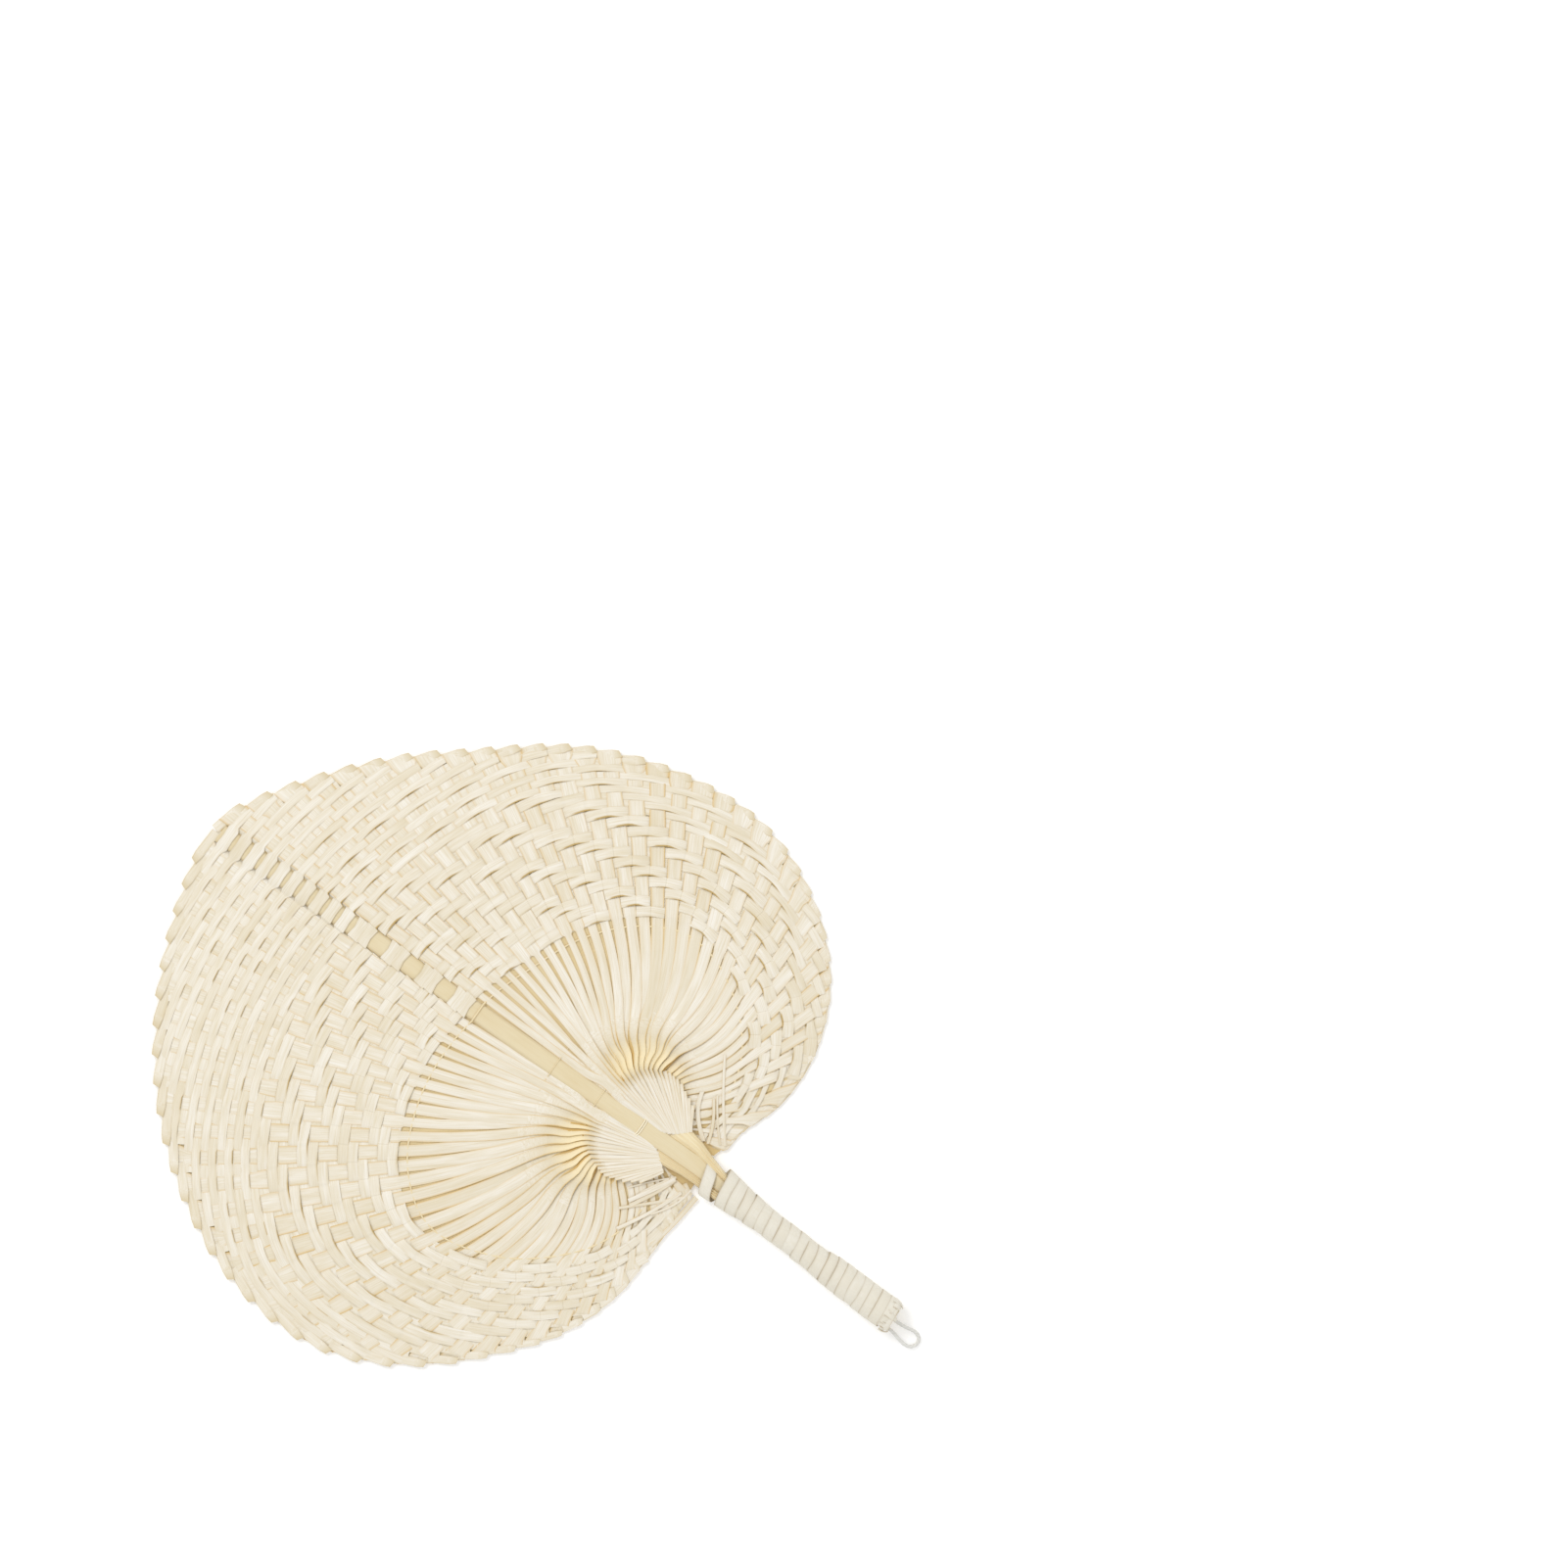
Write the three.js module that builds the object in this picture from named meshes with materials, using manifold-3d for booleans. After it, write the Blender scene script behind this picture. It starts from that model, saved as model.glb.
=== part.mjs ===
// Palm leaf hand fan lying face up. Millimetres, +Y from the grip to the tip, +X to the right, +Z up.
// Each half of a bleached fan palm leaf is one piece: its stalk, its folded hub and its split strips.
// Separate wefts interlace the strips and a bamboo splint, a flat strip binds the stalks to the splint's
// stick as a grip, and a cord loop at the butt hangs the fan up.
import * as THREE from 'three';
import Module from 'manifold-3d';

const wasm = await Module();
wasm.setup();

const degree = Math.PI / 180;

// Overall reach, measured from the foot of the splint where the grip begins
const tipReach = 287;
const gripLength = 112;
const hubReach = 32;
const weaveReach = 105;

// Fits
const clearance = 0.3;

// Bamboo splint and its stick inside the grip
const splintWidth = 9.2;
const splintTipWidth = 7.6;
const splintFootThickness = 3;
const splintTipThickness = 1.1;
const splintFootY = 7;
const splintTipInset = 6;
const stickNeckWidth = 5.6;
const stickSides = 12;

// Leaf strips
const stripCount = 28;
const stripThickness = 0.6;
const stripGap = 1.5;
const spreadBias = 0.72;
const flatLead = 8;
const toothLength = 4;

// Twist of each strip as it leaves the folded hub
const rootTilt = 62 * degree;
const middleTilt = 34 * degree;
const rootStripWidth = 4;
const middleStripWidth = 4.4;
const middleShare = 0.4;
const rootSink = 2;

// Folded hub
const foldApexX = 7;
const foldApexY = 14;
const foldReach = 46;
const foldShutAngle = 65 * degree;
const firstFoldAngle = 4 * degree;
const lastFoldAngle = 52 * degree;
const foldRootRadius = 15;
const foldCount = 16;
const foldThickness = 1;
const foldRootHeight = 0.9;
const foldEdgeHeight = 1.8;

// Stalks beside the splint
const stalkEndY = -33;
const stalkShoulderY = 20;
const stalkShoulderWidth = 7;
const stalkShoulderHeight = 3.6;
const stalkTopY = 36;
const stalkTopWidth = 8;
const stalkTopHeight = 1.8;
const stalkFill = 0.9;
const stalkSides = 8;

// Wefts
const weftRows = 31;
const twillRows = 14;
const weftThickness = 0.6;
const weftGap = 0.6;
const sidePitch = 5.8;
const rimMargin = 1.5;
const tipMargin = 4;

// Spacing thread inside the weave and the stitch over the splint
const threadWidth = 1.2;
const threadSetback = 3.5;
const stitchReach = 38;
const stitchWidth = 1.4;
const stitchThickness = 0.8;

// Grip bindings
const bandThickness = 1.2;
const bandCrown = 0.2;
const bandWidth = 4.7;
const bandPitch = 5.4;
const gripTurns = 10;
const leadStartY = -1;
const leadDrop = 11.5;
const buttBandStartY = -72.4;
const buttBandWidth = 4.4;
const buttBandPitch = 5;
const buttTurns = 7.4;
const stepsPerTurn = 14;
const restFlat = 0.5;
const buttHalfHeight = 7.7;
const gripLean = 6;
const leanPower = 0.7;
const gripTopY = -12;
const gripTopSlope = 0.14;

// Outer half width of the grip by distance from the foot of the splint
const gripHalfWidths = [
  [-gripLength, 8.3],
  [-90, 8],
  [-72, 7.8],
  [-68, 7.2],
  [-46, 6.95],
  [-32, 7.2],
  [-18, 8.6],
  [-6, 9.7],
  [6, 11],
];

// Hanging loop
const cordDiameter = 1.9;
const cordSides = 8;
const loopSteps = 28;
// Route of the loop from one exit to the other: across the grip, and away from the butt
const loopRoute = [
  [-11.4, 0],
  [-11.6, 2],
  [-12.1, 4.4],
  [-12.7, 6.8],
  [-13.2, 9.2],
  [-13.3, 11.6],
  [-12.7, 13.7],
  [-11.4, 15.2],
  [-9.5, 15.9],
  [-7.6, 15.4],
  [-6.2, 13.9],
  [-5.6, 11.9],
  [-5.7, 9.6],
  [-6.1, 7.2],
  [-6.4, 4.8],
  [-6.5, 2.4],
  [-6.5, 0],
];

// Distance from the hub to the tip of the leaf
const bladeReach = tipReach - hubReach;

// Outline of each half: heading from the splint in degrees, and distance from that half's hub
const halves = [
  {
    name: 'left',
    side: -1,
    spread: 152 * degree,
    rim: [[0, bladeReach], [28, bladeReach - 21], [42, bladeReach - 34.5], [55, 204.5], [68.5, 180], [89, 125],
      [100, 102], [114, 75], [128, 52], [158, 32]],
    weaveStart: [[0, weaveReach], [27, 114.5], [42, 118], [56, 114.5], [70.5, 96], [90, 69], [121, 39],
      [150, 27]],
  },
  {
    name: 'right',
    side: 1,
    spread: 150 * degree,
    rim: [[0, bladeReach], [11, bladeReach - 24], [21, bladeReach - 43], [30, bladeReach - 58], [45, 182],
      [59, 167.5], [75, 151], [91, 128.5], [106, 106], [120, 83.5], [136, 59], [150, 39], [165, 30]],
    weaveStart: [[0, weaveReach], [17, 100], [33, 100], [52, 99], [67, 94], [90, 71], [110, 52], [130, 38],
      [155, 27]],
  },
];

const finishes = {
  leaf: { color: 0xede4c8, roughness: 0.72, metalness: 0 },
  weft: { color: 0xf0e9d2, roughness: 0.7, metalness: 0 },
  bamboo: { color: 0xe6d3a0, roughness: 0.55, metalness: 0 },
  binding: { color: 0xebe6d6, roughness: 0.78, metalness: 0 },
  thread: { color: 0xd9c795, roughness: 0.85, metalness: 0 },
  cord: { color: 0xeceae2, roughness: 0.9, metalness: 0 },
};

// Smooth curve through [position, value] points
function curveThrough(points, position) {
  const last = points.length - 1;
  let first = 0;
  while (first < last - 1 && position > points[first + 1][0]) first += 1;
  const slope = (index) => {
    const before = points[Math.max(index - 1, 0)];
    const after = points[Math.min(index + 1, last)];
    return (after[1] - before[1]) / (after[0] - before[0]);
  };
  const [startPosition, startValue] = points[first];
  const [endPosition, endValue] = points[first + 1];
  const length = endPosition - startPosition;
  const t = THREE.MathUtils.clamp((position - startPosition) / length, 0, 1);
  const bend = t * (1 - t);
  const rise = endValue - startValue;
  const lean = (slope(first) * length - rise) * (1 - t) - (slope(first + 1) * length - rise) * t;
  return startValue + rise * t + bend * lean;
}

// Closed skin over a row of rings that have equally many points
function loft(rings) {
  const sides = rings[0].length;
  const positions = rings.flat().flatMap((point) => [point.x, point.y, point.z]);
  const faces = [];
  for (let ring = 0; ring < rings.length - 1; ring += 1) {
    for (let side = 0; side < sides; side += 1) {
      const a = ring * sides + side;
      const b = ring * sides + (side + 1) % sides;
      faces.push([a, b, b + sides], [a, b + sides, a + sides]);
    }
  }
  const lastRing = (rings.length - 1) * sides;
  for (let side = 1; side < sides - 1; side += 1) {
    faces.push([0, side + 1, side], [lastRing, lastRing + side, lastRing + side + 1]);
  }
  return closedSkin(positions, faces);
}

// Indexed geometry whose faces point outwards
function closedSkin(positions, faces) {
  const corner = (index) => new THREE.Vector3().fromArray(positions, index * 3);
  let volume = 0;
  for (const [a, b, c] of faces) volume += corner(a).dot(corner(b).cross(corner(c)));
  const outward = volume > 0 ? faces : faces.map(([a, b, c]) => [a, c, b]);
  const geometry = new THREE.BufferGeometry();
  geometry.setAttribute('position', new THREE.Float32BufferAttribute(positions, 3));
  geometry.setIndex(outward.flat());
  geometry.computeVertexNormals();
  return geometry;
}

function toSolid(geometry) {
  const vertProperties = new Float32Array(geometry.getAttribute('position').array);
  const triVerts = new Uint32Array(geometry.getIndex().array);
  return new wasm.Manifold(new wasm.Mesh({ numProp: 3, vertProperties, triVerts }));
}

function fromSolid(solid) {
  const mesh = solid.getMesh();
  const geometry = new THREE.BufferGeometry();
  geometry.setAttribute('position', new THREE.Float32BufferAttribute(mesh.vertProperties, 3));
  geometry.setIndex(Array.from(mesh.triVerts));
  geometry.computeVertexNormals();
  return geometry;
}

const fan = new THREE.Group();

function addPiece(name, geometry, finish) {
  const mesh = new THREE.Mesh(geometry, new THREE.MeshStandardMaterial(finishes[finish]));
  mesh.name = name;
  fan.add(mesh);
  return mesh;
}

// Heights. The rim of the leaf and the underside of the grip both lie on the table.
const rimHeight = splintTipThickness / 2 + clearance + weftThickness;
const buttHeight = buttHalfHeight - restFlat;
const axisHeight = (y) => THREE.MathUtils.mapLinear(y, -gripLength, tipReach, buttHeight, rimHeight);
const hubHeight = axisHeight(hubReach);

// Grip profile
const gripCentre = (y) => {
  const share = THREE.MathUtils.clamp((splintFootY - y) / (splintFootY + gripLength), 0, 1);
  return -gripLean * share ** leanPower;
};
const gripHalfWidth = (y) => curveThrough(gripHalfWidths, y);
const gripHalfHeight = (y) => axisHeight(y) + restFlat - gripTopSlope * Math.max(y - gripTopY, 0);
const coreHalfWidth = (y) => gripHalfWidth(y) - bandThickness - clearance;
const coreHalfHeight = (y) => gripHalfHeight(y) - bandThickness - clearance;

// Rounded section across the grip or the splint. A squareness of 2 is an ellipse.
function crossSection(centreX, y, halfWidth, halfHeight, squareness, sides) {
  const ring = [];
  for (let side = 0; side < sides; side += 1) {
    const angle = (side + 0.5) * 2 * Math.PI / sides;
    const across = Math.sign(Math.cos(angle)) * Math.abs(Math.cos(angle)) ** (2 / squareness);
    const up = Math.sign(Math.sin(angle)) * Math.abs(Math.sin(angle)) ** (2 / squareness);
    ring.push(new THREE.Vector3(centreX + halfWidth * across, y, axisHeight(y) + halfHeight * up));
  }
  return ring;
}

// Splint: an oval stick in the grip, a narrow neck between the stalks, and a flat blade up to the tip
const neckEndY = stalkEndY - 2 * clearance;
const leadTopY = leadStartY + bandWidth / 2;
const splintEndY = tipReach - splintTipInset;
const splintHalfThickness = (y) => (
  THREE.MathUtils.mapLinear(y, splintFootY, splintEndY, splintFootThickness, splintTipThickness) / 2);

function stickHalfWidth(y) {
  if (y >= splintFootY) {
    return THREE.MathUtils.mapLinear(y, splintFootY, splintEndY, splintWidth, splintTipWidth) / 2;
  }
  const share = THREE.MathUtils.clamp((y - gripTopY) / (splintFootY - gripTopY), 0, 1);
  return THREE.MathUtils.lerp(stickNeckWidth, splintWidth, share) / 2;
}

function stickHalfHeight(y) {
  if (y >= splintFootY) return splintHalfThickness(y);
  const share = THREE.MathUtils.clamp((y - gripTopY) / (splintFootY - gripTopY), 0, 1);
  return THREE.MathUtils.lerp(coreHalfHeight(Math.min(y, gripTopY)), splintFootThickness / 2, share);
}

function splint() {
  const rings = [];
  for (const y of [-gripLength, -90, -72, -66, -46, neckEndY - bandPitch]) {
    rings.push(crossSection(gripCentre(y), y, coreHalfWidth(y), coreHalfHeight(y), 2, stickSides));
  }
  for (const y of [neckEndY, gripTopY, leadTopY]) {
    rings.push(crossSection(gripCentre(y), y, stickHalfWidth(y), stickHalfHeight(y), 3, stickSides));
  }
  for (const y of [splintFootY, splintEndY]) {
    rings.push(crossSection(gripCentre(y), y, stickHalfWidth(y), stickHalfHeight(y), 7, stickSides));
  }
  return loft(rings);
}

// Heading of every line between two strips, closer together beside the splint
for (const half of halves) {
  half.headings = [];
  for (let line = 0; line <= stripCount; line += 1) {
    const share = line / stripCount;
    half.headings.push(half.spread * (spreadBias * share + (1 - spreadBias) * share * share));
  }
}
const hubX = splintWidth / 2 + stripGap / 2;
const rimAt = (half, heading) => curveThrough(half.rim, heading / degree);
const weaveStartAt = (half, heading) => curveThrough(half.weaveStart, heading / degree);

// Point on the leaf, at a distance from the hub along a line between strips and beside that line
function leafPoint(half, line, beside, distance, level) {
  const heading = half.headings[line];
  const x = hubX + distance * Math.sin(heading) + beside * Math.cos(heading);
  const y = hubReach + distance * Math.cos(heading) - beside * Math.sin(heading);
  const height = THREE.MathUtils.lerp(hubHeight, rimHeight, distance / rimAt(half, heading));
  return new THREE.Vector3(half.side * x, y, height + level);
}

// Ring across a strip where it lies flat between its two lines
function flatStripRing(half, strip, nearDistance, farDistance) {
  const lift = stripThickness / 2;
  const near = (level) => leafPoint(half, strip, stripGap / 2, nearDistance, level);
  const far = (level) => leafPoint(half, strip + 1, -stripGap / 2, farDistance, level);
  return [near(-lift), far(-lift), far(lift), near(lift)];
}

// Ring across a strip that is turned on its own run
function tiltedStripRing(half, centre, run, width, tilt) {
  const outward = new THREE.Vector3(run.y * half.side, -run.x * half.side, 0).normalize();
  const up = new THREE.Vector3(0, 0, 1);
  const across = outward.clone().multiplyScalar(Math.cos(tilt)).addScaledVector(up, Math.sin(tilt));
  const normal = outward.clone().multiplyScalar(-Math.sin(tilt)).addScaledVector(up, Math.cos(tilt));
  const corner = (a, n) => (
    centre.clone().addScaledVector(across, a * width / 2).addScaledVector(normal, n * stripThickness / 2));
  return [corner(-1, -1), corner(1, -1), corner(1, 1), corner(-1, 1)];
}

// Folded hub: fold lines spread from an apex beside the splint to a curved outer edge
const foldAngle = (share) => THREE.MathUtils.lerp(firstFoldAngle, lastFoldAngle, share);
const foldEdge = (angle) => foldReach * (1 - (angle / foldShutAngle) ** 2);

function foldPoint(half, angle, radius, level) {
  const x = foldApexX + radius * Math.sin(angle);
  const y = foldApexY + radius * Math.cos(angle);
  return new THREE.Vector3(half.side * x, y, hubHeight + level);
}

function strip(half, index) {
  const angle = foldAngle((index + 0.5) / stripCount);
  const root = foldPoint(half, angle, foldEdge(angle) - rootSink, 0);
  const near = half.headings[index];
  const far = half.headings[index + 1];
  const flatStart = (heading) => weaveStartAt(half, heading) - flatLead;
  const flat = flatStripRing(half, index, flatStart(near), flatStart(far));
  const flatCentre = flat[0].clone().add(flat[2]).multiplyScalar(0.5);
  const run = flatCentre.clone().sub(root);
  const middle = root.clone().lerp(flatCentre, middleShare);
  return loft([
    tiltedStripRing(half, root, run, rootStripWidth, rootTilt),
    tiltedStripRing(half, middle, run, middleStripWidth, middleTilt),
    flat,
    flatStripRing(half, index, rimAt(half, near), rimAt(half, far) - toothLength),
  ]);
}

function foldedHub(half) {
  const rings = [];
  for (let fold = 0; fold <= 2 * foldCount; fold += 1) {
    const angle = foldAngle(fold / (2 * foldCount));
    const crest = fold % 2 === 0 ? 1 : -1;
    const lift = foldThickness / 2;
    const edge = foldEdge(angle);
    rings.push([
      foldPoint(half, angle, foldRootRadius, crest * foldRootHeight - lift),
      foldPoint(half, angle, edge, crest * foldEdgeHeight - lift),
      foldPoint(half, angle, edge, crest * foldEdgeHeight + lift),
      foldPoint(half, angle, foldRootRadius, crest * foldRootHeight + lift),
    ]);
  }
  return loft(rings);
}

// Stalk: runs from the folded hub down beside the splint's neck, under the binding
function stalk(half) {
  const ring = (y, width, halfHeight) => {
    const inner = stickHalfWidth(y) + clearance;
    const centre = gripCentre(y) + half.side * (inner + width / 2);
    return crossSection(centre, y, width / 2, halfHeight, 2.5, stalkSides);
  };
  const rings = [];
  for (const y of [stalkEndY, gripTopY, leadTopY, splintFootY]) {
    const width = stalkFill * coreHalfWidth(y) - stickHalfWidth(y) - clearance;
    rings.push(ring(y, width, coreHalfHeight(y) * (1 - stalkFill ** 2) ** 0.5));
  }
  rings.push(ring(stalkShoulderY, stalkShoulderWidth, stalkShoulderHeight / 2));
  rings.push(ring(stalkTopY, stalkTopWidth, stalkTopHeight / 2));
  return loft(rings);
}

function leafHalf(half) {
  let whole = toSolid(foldedHub(half)).add(toSolid(stalk(half)));
  for (let index = 0; index < stripCount; index += 1) whole = whole.add(toSolid(strip(half, index)));
  // The outer skin alone, without the pockets that close up where strips lie against each other
  const skins = whole.decompose().sort((a, b) => b.volume() - a.volume());
  return fromSolid(skins[0]);
}

// Weave. Rows follow the start of the weave outwards, and end where the rim cuts them off.
const axisPitch = (bladeReach - tipMargin - weaveReach) / weftRows;

function rowPitch(heading) {
  const share = THREE.MathUtils.clamp(heading / (90 * degree), 0, 1);
  return THREE.MathUtils.lerp(axisPitch, sidePitch, share);
}

const weftRow = (row) => ({
  centre: (half, heading) => weaveStartAt(half, heading) + (row + 0.5) * rowPitch(heading),
  width: (heading) => rowPitch(heading) - weftGap,
  shift: row < twillRows ? row : twillRows + 2 * (row - twillRows),
});

const threadRow = {
  centre: (half, heading) => weaveStartAt(half, heading) - threadSetback,
  width: () => threadWidth,
  shift: 1,
};

// How many strips of a half the row crosses before the rim
function stripsCrossed(half, row) {
  let crossed = 0;
  while (crossed < stripCount) {
    const heading = half.headings[crossed + 1];
    const outer = row.centre(half, heading) + row.width(heading) / 2;
    if (outer > rimAt(half, heading) - toothLength - rimMargin) break;
    crossed += 1;
  }
  return crossed;
}

// Rectangle across a row, on a line between strips and beside it
function rowRing(row, half, line, beside, level) {
  const heading = half.headings[line];
  const besideHeading = heading + beside / row.centre(half, heading);
  const centre = row.centre(half, besideHeading);
  const reach = row.width(besideHeading) / 2;
  const lift = weftThickness / 2;
  return [
    leafPoint(half, line, beside, centre - reach, level - lift),
    leafPoint(half, line, beside, centre + reach, level - lift),
    leafPoint(half, line, beside, centre + reach, level + lift),
    leafPoint(half, line, beside, centre - reach, level + lift),
  ];
}

// How far a point stands off the straight run between two others
function bendAt(before, point, after) {
  const run = after.clone().sub(before);
  return point.clone().sub(before).cross(run).length() / run.length();
}

// Interlaced ribbon: two strips over, two under, counted from the splint to both sides
function interlaced(row) {
  const [left, right] = halves;
  const edge = stripGap / 2;
  const passes = (place) => ((place + row.shift) % 4 < 2 ? 1 : -1);
  const stripLevel = stripThickness / 2 + clearance + weftThickness / 2;
  const crossings = [];
  const crossStrip = (half, index, outwards) => {
    const level = passes(index + 1) * stripLevel;
    const near = () => rowRing(row, half, index, edge, level);
    const far = () => rowRing(row, half, index + 1, -edge, level);
    crossings.push({ level, enter: outwards ? near : far, leave: outwards ? far : near });
  };
  for (let index = stripsCrossed(right, row) - 1; index >= 0; index -= 1) crossStrip(right, index, false);
  const splintY = hubReach + row.centre(left, 0) - row.width(0) / 2;
  const splintLevel = passes(0) * (splintHalfThickness(splintY) + clearance + weftThickness / 2);
  crossings.push({
    level: splintLevel,
    enter: () => rowRing(row, right, 0, -edge, splintLevel),
    leave: () => rowRing(row, left, 0, -edge, splintLevel),
  });
  for (let index = 0; index < stripsCrossed(left, row); index += 1) crossStrip(left, index, true);

  const rings = [crossings[0].enter()];
  for (let place = 1; place < crossings.length; place += 1) {
    const before = crossings[place - 1];
    const here = crossings[place];
    if (here.level !== before.level) {
      rings.push(before.leave(), here.enter());
    } else if (bendAt(rings.at(-1)[0], here.enter()[0], here.leave()[0]) > weftGap / 2) {
      rings.push(here.enter());
    }
  }
  rings.push(crossings[crossings.length - 1].leave());
  return loft(rings);
}

// Stitch: a narrow closed band round the splint above its foot
function stitch() {
  const y = stitchReach;
  const inner = { x: stickHalfWidth(y) + clearance, z: splintHalfThickness(y) + clearance };
  const rings = [];
  for (const [acrossSign, upSign] of [[1, 1], [-1, 1], [-1, -1], [1, -1]]) {
    const corner = (outset, along) => new THREE.Vector3(
      acrossSign * (inner.x + outset), y + along, axisHeight(y) + upSign * (inner.z + outset));
    const half = stitchWidth / 2;
    rings.push([
      corner(0, -half),
      corner(stitchThickness, -half),
      corner(stitchThickness, half),
      corner(0, half),
    ]);
  }
  const sides = rings[0].length;
  const positions = rings.flat().flatMap((point) => [point.x, point.y, point.z]);
  const faces = [];
  for (let ring = 0; ring < rings.length; ring += 1) {
    for (let side = 0; side < sides; side += 1) {
      const next = (ring + 1) % rings.length;
      const other = (side + 1) % sides;
      const [a, b] = [ring * sides + side, ring * sides + other];
      const [c, d] = [next * sides + other, next * sides + side];
      faces.push([a, b, c], [a, c, d]);
    }
  }
  return closedSkin(positions, faces);
}

// Wound band: one flat strip with a crowned face, cut level with the table under the grip. Its steps are
// placed so that a whole step lies level there.
function woundBand(label, width, turns, centreAt) {
  const section = [
    [-width / 2, 0],
    [width / 2, 0],
    [width / 2, bandThickness - bandCrown],
    [0, bandThickness],
    [-width / 2, bandThickness - bandCrown],
  ];
  const steps = Math.round(turns * stepsPerTurn);
  const bottomPhase = (0.75 * stepsPerTurn + 0.5) % 1;
  const rings = [];
  for (let step = 0; step <= steps; step += 1) {
    const turn = step / stepsPerTurn;
    const angle = (turn + bottomPhase / stepsPerTurn) * 2 * Math.PI;
    rings.push(section.map(([along, out]) => {
      const y = centreAt(turn) + along;
      const x = gripCentre(y) + (gripHalfWidth(y) - bandThickness + out) * Math.cos(angle);
      const z = axisHeight(y) + (gripHalfHeight(y) - bandThickness + out) * Math.sin(angle);
      return new THREE.Vector3(x, y, Math.max(z, 0));
    }));
  }
  let leastGap = Infinity;
  for (let step = 0; step + stepsPerTurn <= steps; step += 1) {
    for (const upper of [rings[step][0], rings[step][4]]) {
      for (const lower of [rings[step + stepsPerTurn][1], rings[step + stepsPerTurn][2]]) {
        leastGap = Math.min(leastGap, upper.distanceTo(lower));
      }
    }
  }
  console.log(`${label}: least gap between turns ${leastGap.toFixed(2)} mm`);
  return loft(rings);
}

// The grip's strip starts across the foot of the splint, then winds down in even turns
const gripBandCentre = (turn) => (
  leadStartY - leadDrop * Math.min(turn, 1) - bandPitch * Math.max(turn - 1, 0));
const buttBandCentre = (turn) => buttBandStartY - buttBandPitch * turn;

// Loop of cord, drooping from the butt to the table
const loopReach = Math.max(...loopRoute.map(([, away]) => away));
const loopDroop = Math.asin((buttHeight - cordDiameter / 2 - clearance) / loopReach);
const loopHingeY = -gripLength - clearance - cordDiameter / 2;

function hangLoop() {
  const points = loopRoute.map(([across, away]) => new THREE.Vector3(
    across, loopHingeY - away * Math.cos(loopDroop), buttHeight - away * Math.sin(loopDroop)));
  const outline = [];
  for (let side = 0; side < cordSides; side += 1) {
    const angle = (side + 0.5) * 2 * Math.PI / cordSides;
    outline.push(new THREE.Vector2(Math.cos(angle), Math.sin(angle)).multiplyScalar(cordDiameter / 2));
  }
  const geometry = new THREE.ExtrudeGeometry(new THREE.Shape(outline), {
    steps: loopSteps,
    extrudePath: new THREE.CatmullRomCurve3(points),
    curveSegments: 1,
  });
  return geometry;
}

addPiece('spine_splint', splint(), 'bamboo');
for (const half of halves) addPiece(`${half.name}_leaf`, leafHalf(half), 'leaf');
let made = 0;
for (let index = 0; index < weftRows; index += 1) {
  const row = weftRow(index);
  if (halves.every((half) => stripsCrossed(half, row) > 0)) {
    made += 1;
    addPiece(`weft_${String(made).padStart(2, '0')}`, interlaced(row), 'weft');
  }
}
addPiece('spacing_thread', interlaced(threadRow), 'thread');
addPiece('splint_stitch', stitch(), 'thread');
addPiece('grip_binding', woundBand('grip_binding', bandWidth, gripTurns + 1, gripBandCentre), 'binding');
addPiece('butt_binding', woundBand('butt_binding', buttBandWidth, buttTurns, buttBandCentre), 'binding');

// The origin is under the middle of the fan without its loop
const box = new THREE.Box3().setFromObject(fan);
addPiece('hang_loop', hangLoop(), 'cord');
const middle = box.getCenter(new THREE.Vector3());
fan.position.set(-middle.x, -middle.y, -box.min.z);

export default fan;
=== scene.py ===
"""Palm leaf hand fan over its CAD frame: split leaf strips, interlaced wefts, folded hubs and bound grip."""
import math
import random

import bmesh
import bpy
from bpy.props import FloatProperty, FloatVectorProperty, IntProperty, PointerProperty
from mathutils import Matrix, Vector


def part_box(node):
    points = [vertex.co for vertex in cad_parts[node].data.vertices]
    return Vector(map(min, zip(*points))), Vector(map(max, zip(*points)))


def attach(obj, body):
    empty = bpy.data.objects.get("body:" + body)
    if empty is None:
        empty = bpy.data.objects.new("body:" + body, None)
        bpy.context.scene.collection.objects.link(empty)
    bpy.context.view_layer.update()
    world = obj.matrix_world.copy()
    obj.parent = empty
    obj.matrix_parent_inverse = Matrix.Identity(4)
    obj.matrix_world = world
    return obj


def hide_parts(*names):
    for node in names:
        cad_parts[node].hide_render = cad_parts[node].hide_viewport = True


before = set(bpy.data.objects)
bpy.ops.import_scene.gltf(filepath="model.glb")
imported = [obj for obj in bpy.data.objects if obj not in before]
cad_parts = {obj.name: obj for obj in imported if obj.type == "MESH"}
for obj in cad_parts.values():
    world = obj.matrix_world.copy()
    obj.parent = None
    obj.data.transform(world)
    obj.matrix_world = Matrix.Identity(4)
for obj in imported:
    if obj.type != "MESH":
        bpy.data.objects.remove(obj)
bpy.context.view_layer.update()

bl_info = {
    "name": "Palm leaf fan",
    "version": (1, 0, 0),
    "blender": (4, 5, 0),
    "location": "View3D > Sidebar > Fan",
    "description": "Dresses the woven palm leaf fan and sets its stage",
    "category": "Object",
}

MM = 0.001
UP = Vector((0, 0, 1))

# The pattern's origin is the foot of the splint. It is measured in millimetres and moved into the CAD frame.
TIP_REACH = 287.0
STITCH_LOW, STITCH_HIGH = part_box("splint_stitch")
LEAF_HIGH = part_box("left_leaf")[1]
FOOT_X = (STITCH_LOW[0] + STITCH_HIGH[0]) / 2
FOOT_Y = LEAF_HIGH[1] - TIP_REACH * MM

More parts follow.
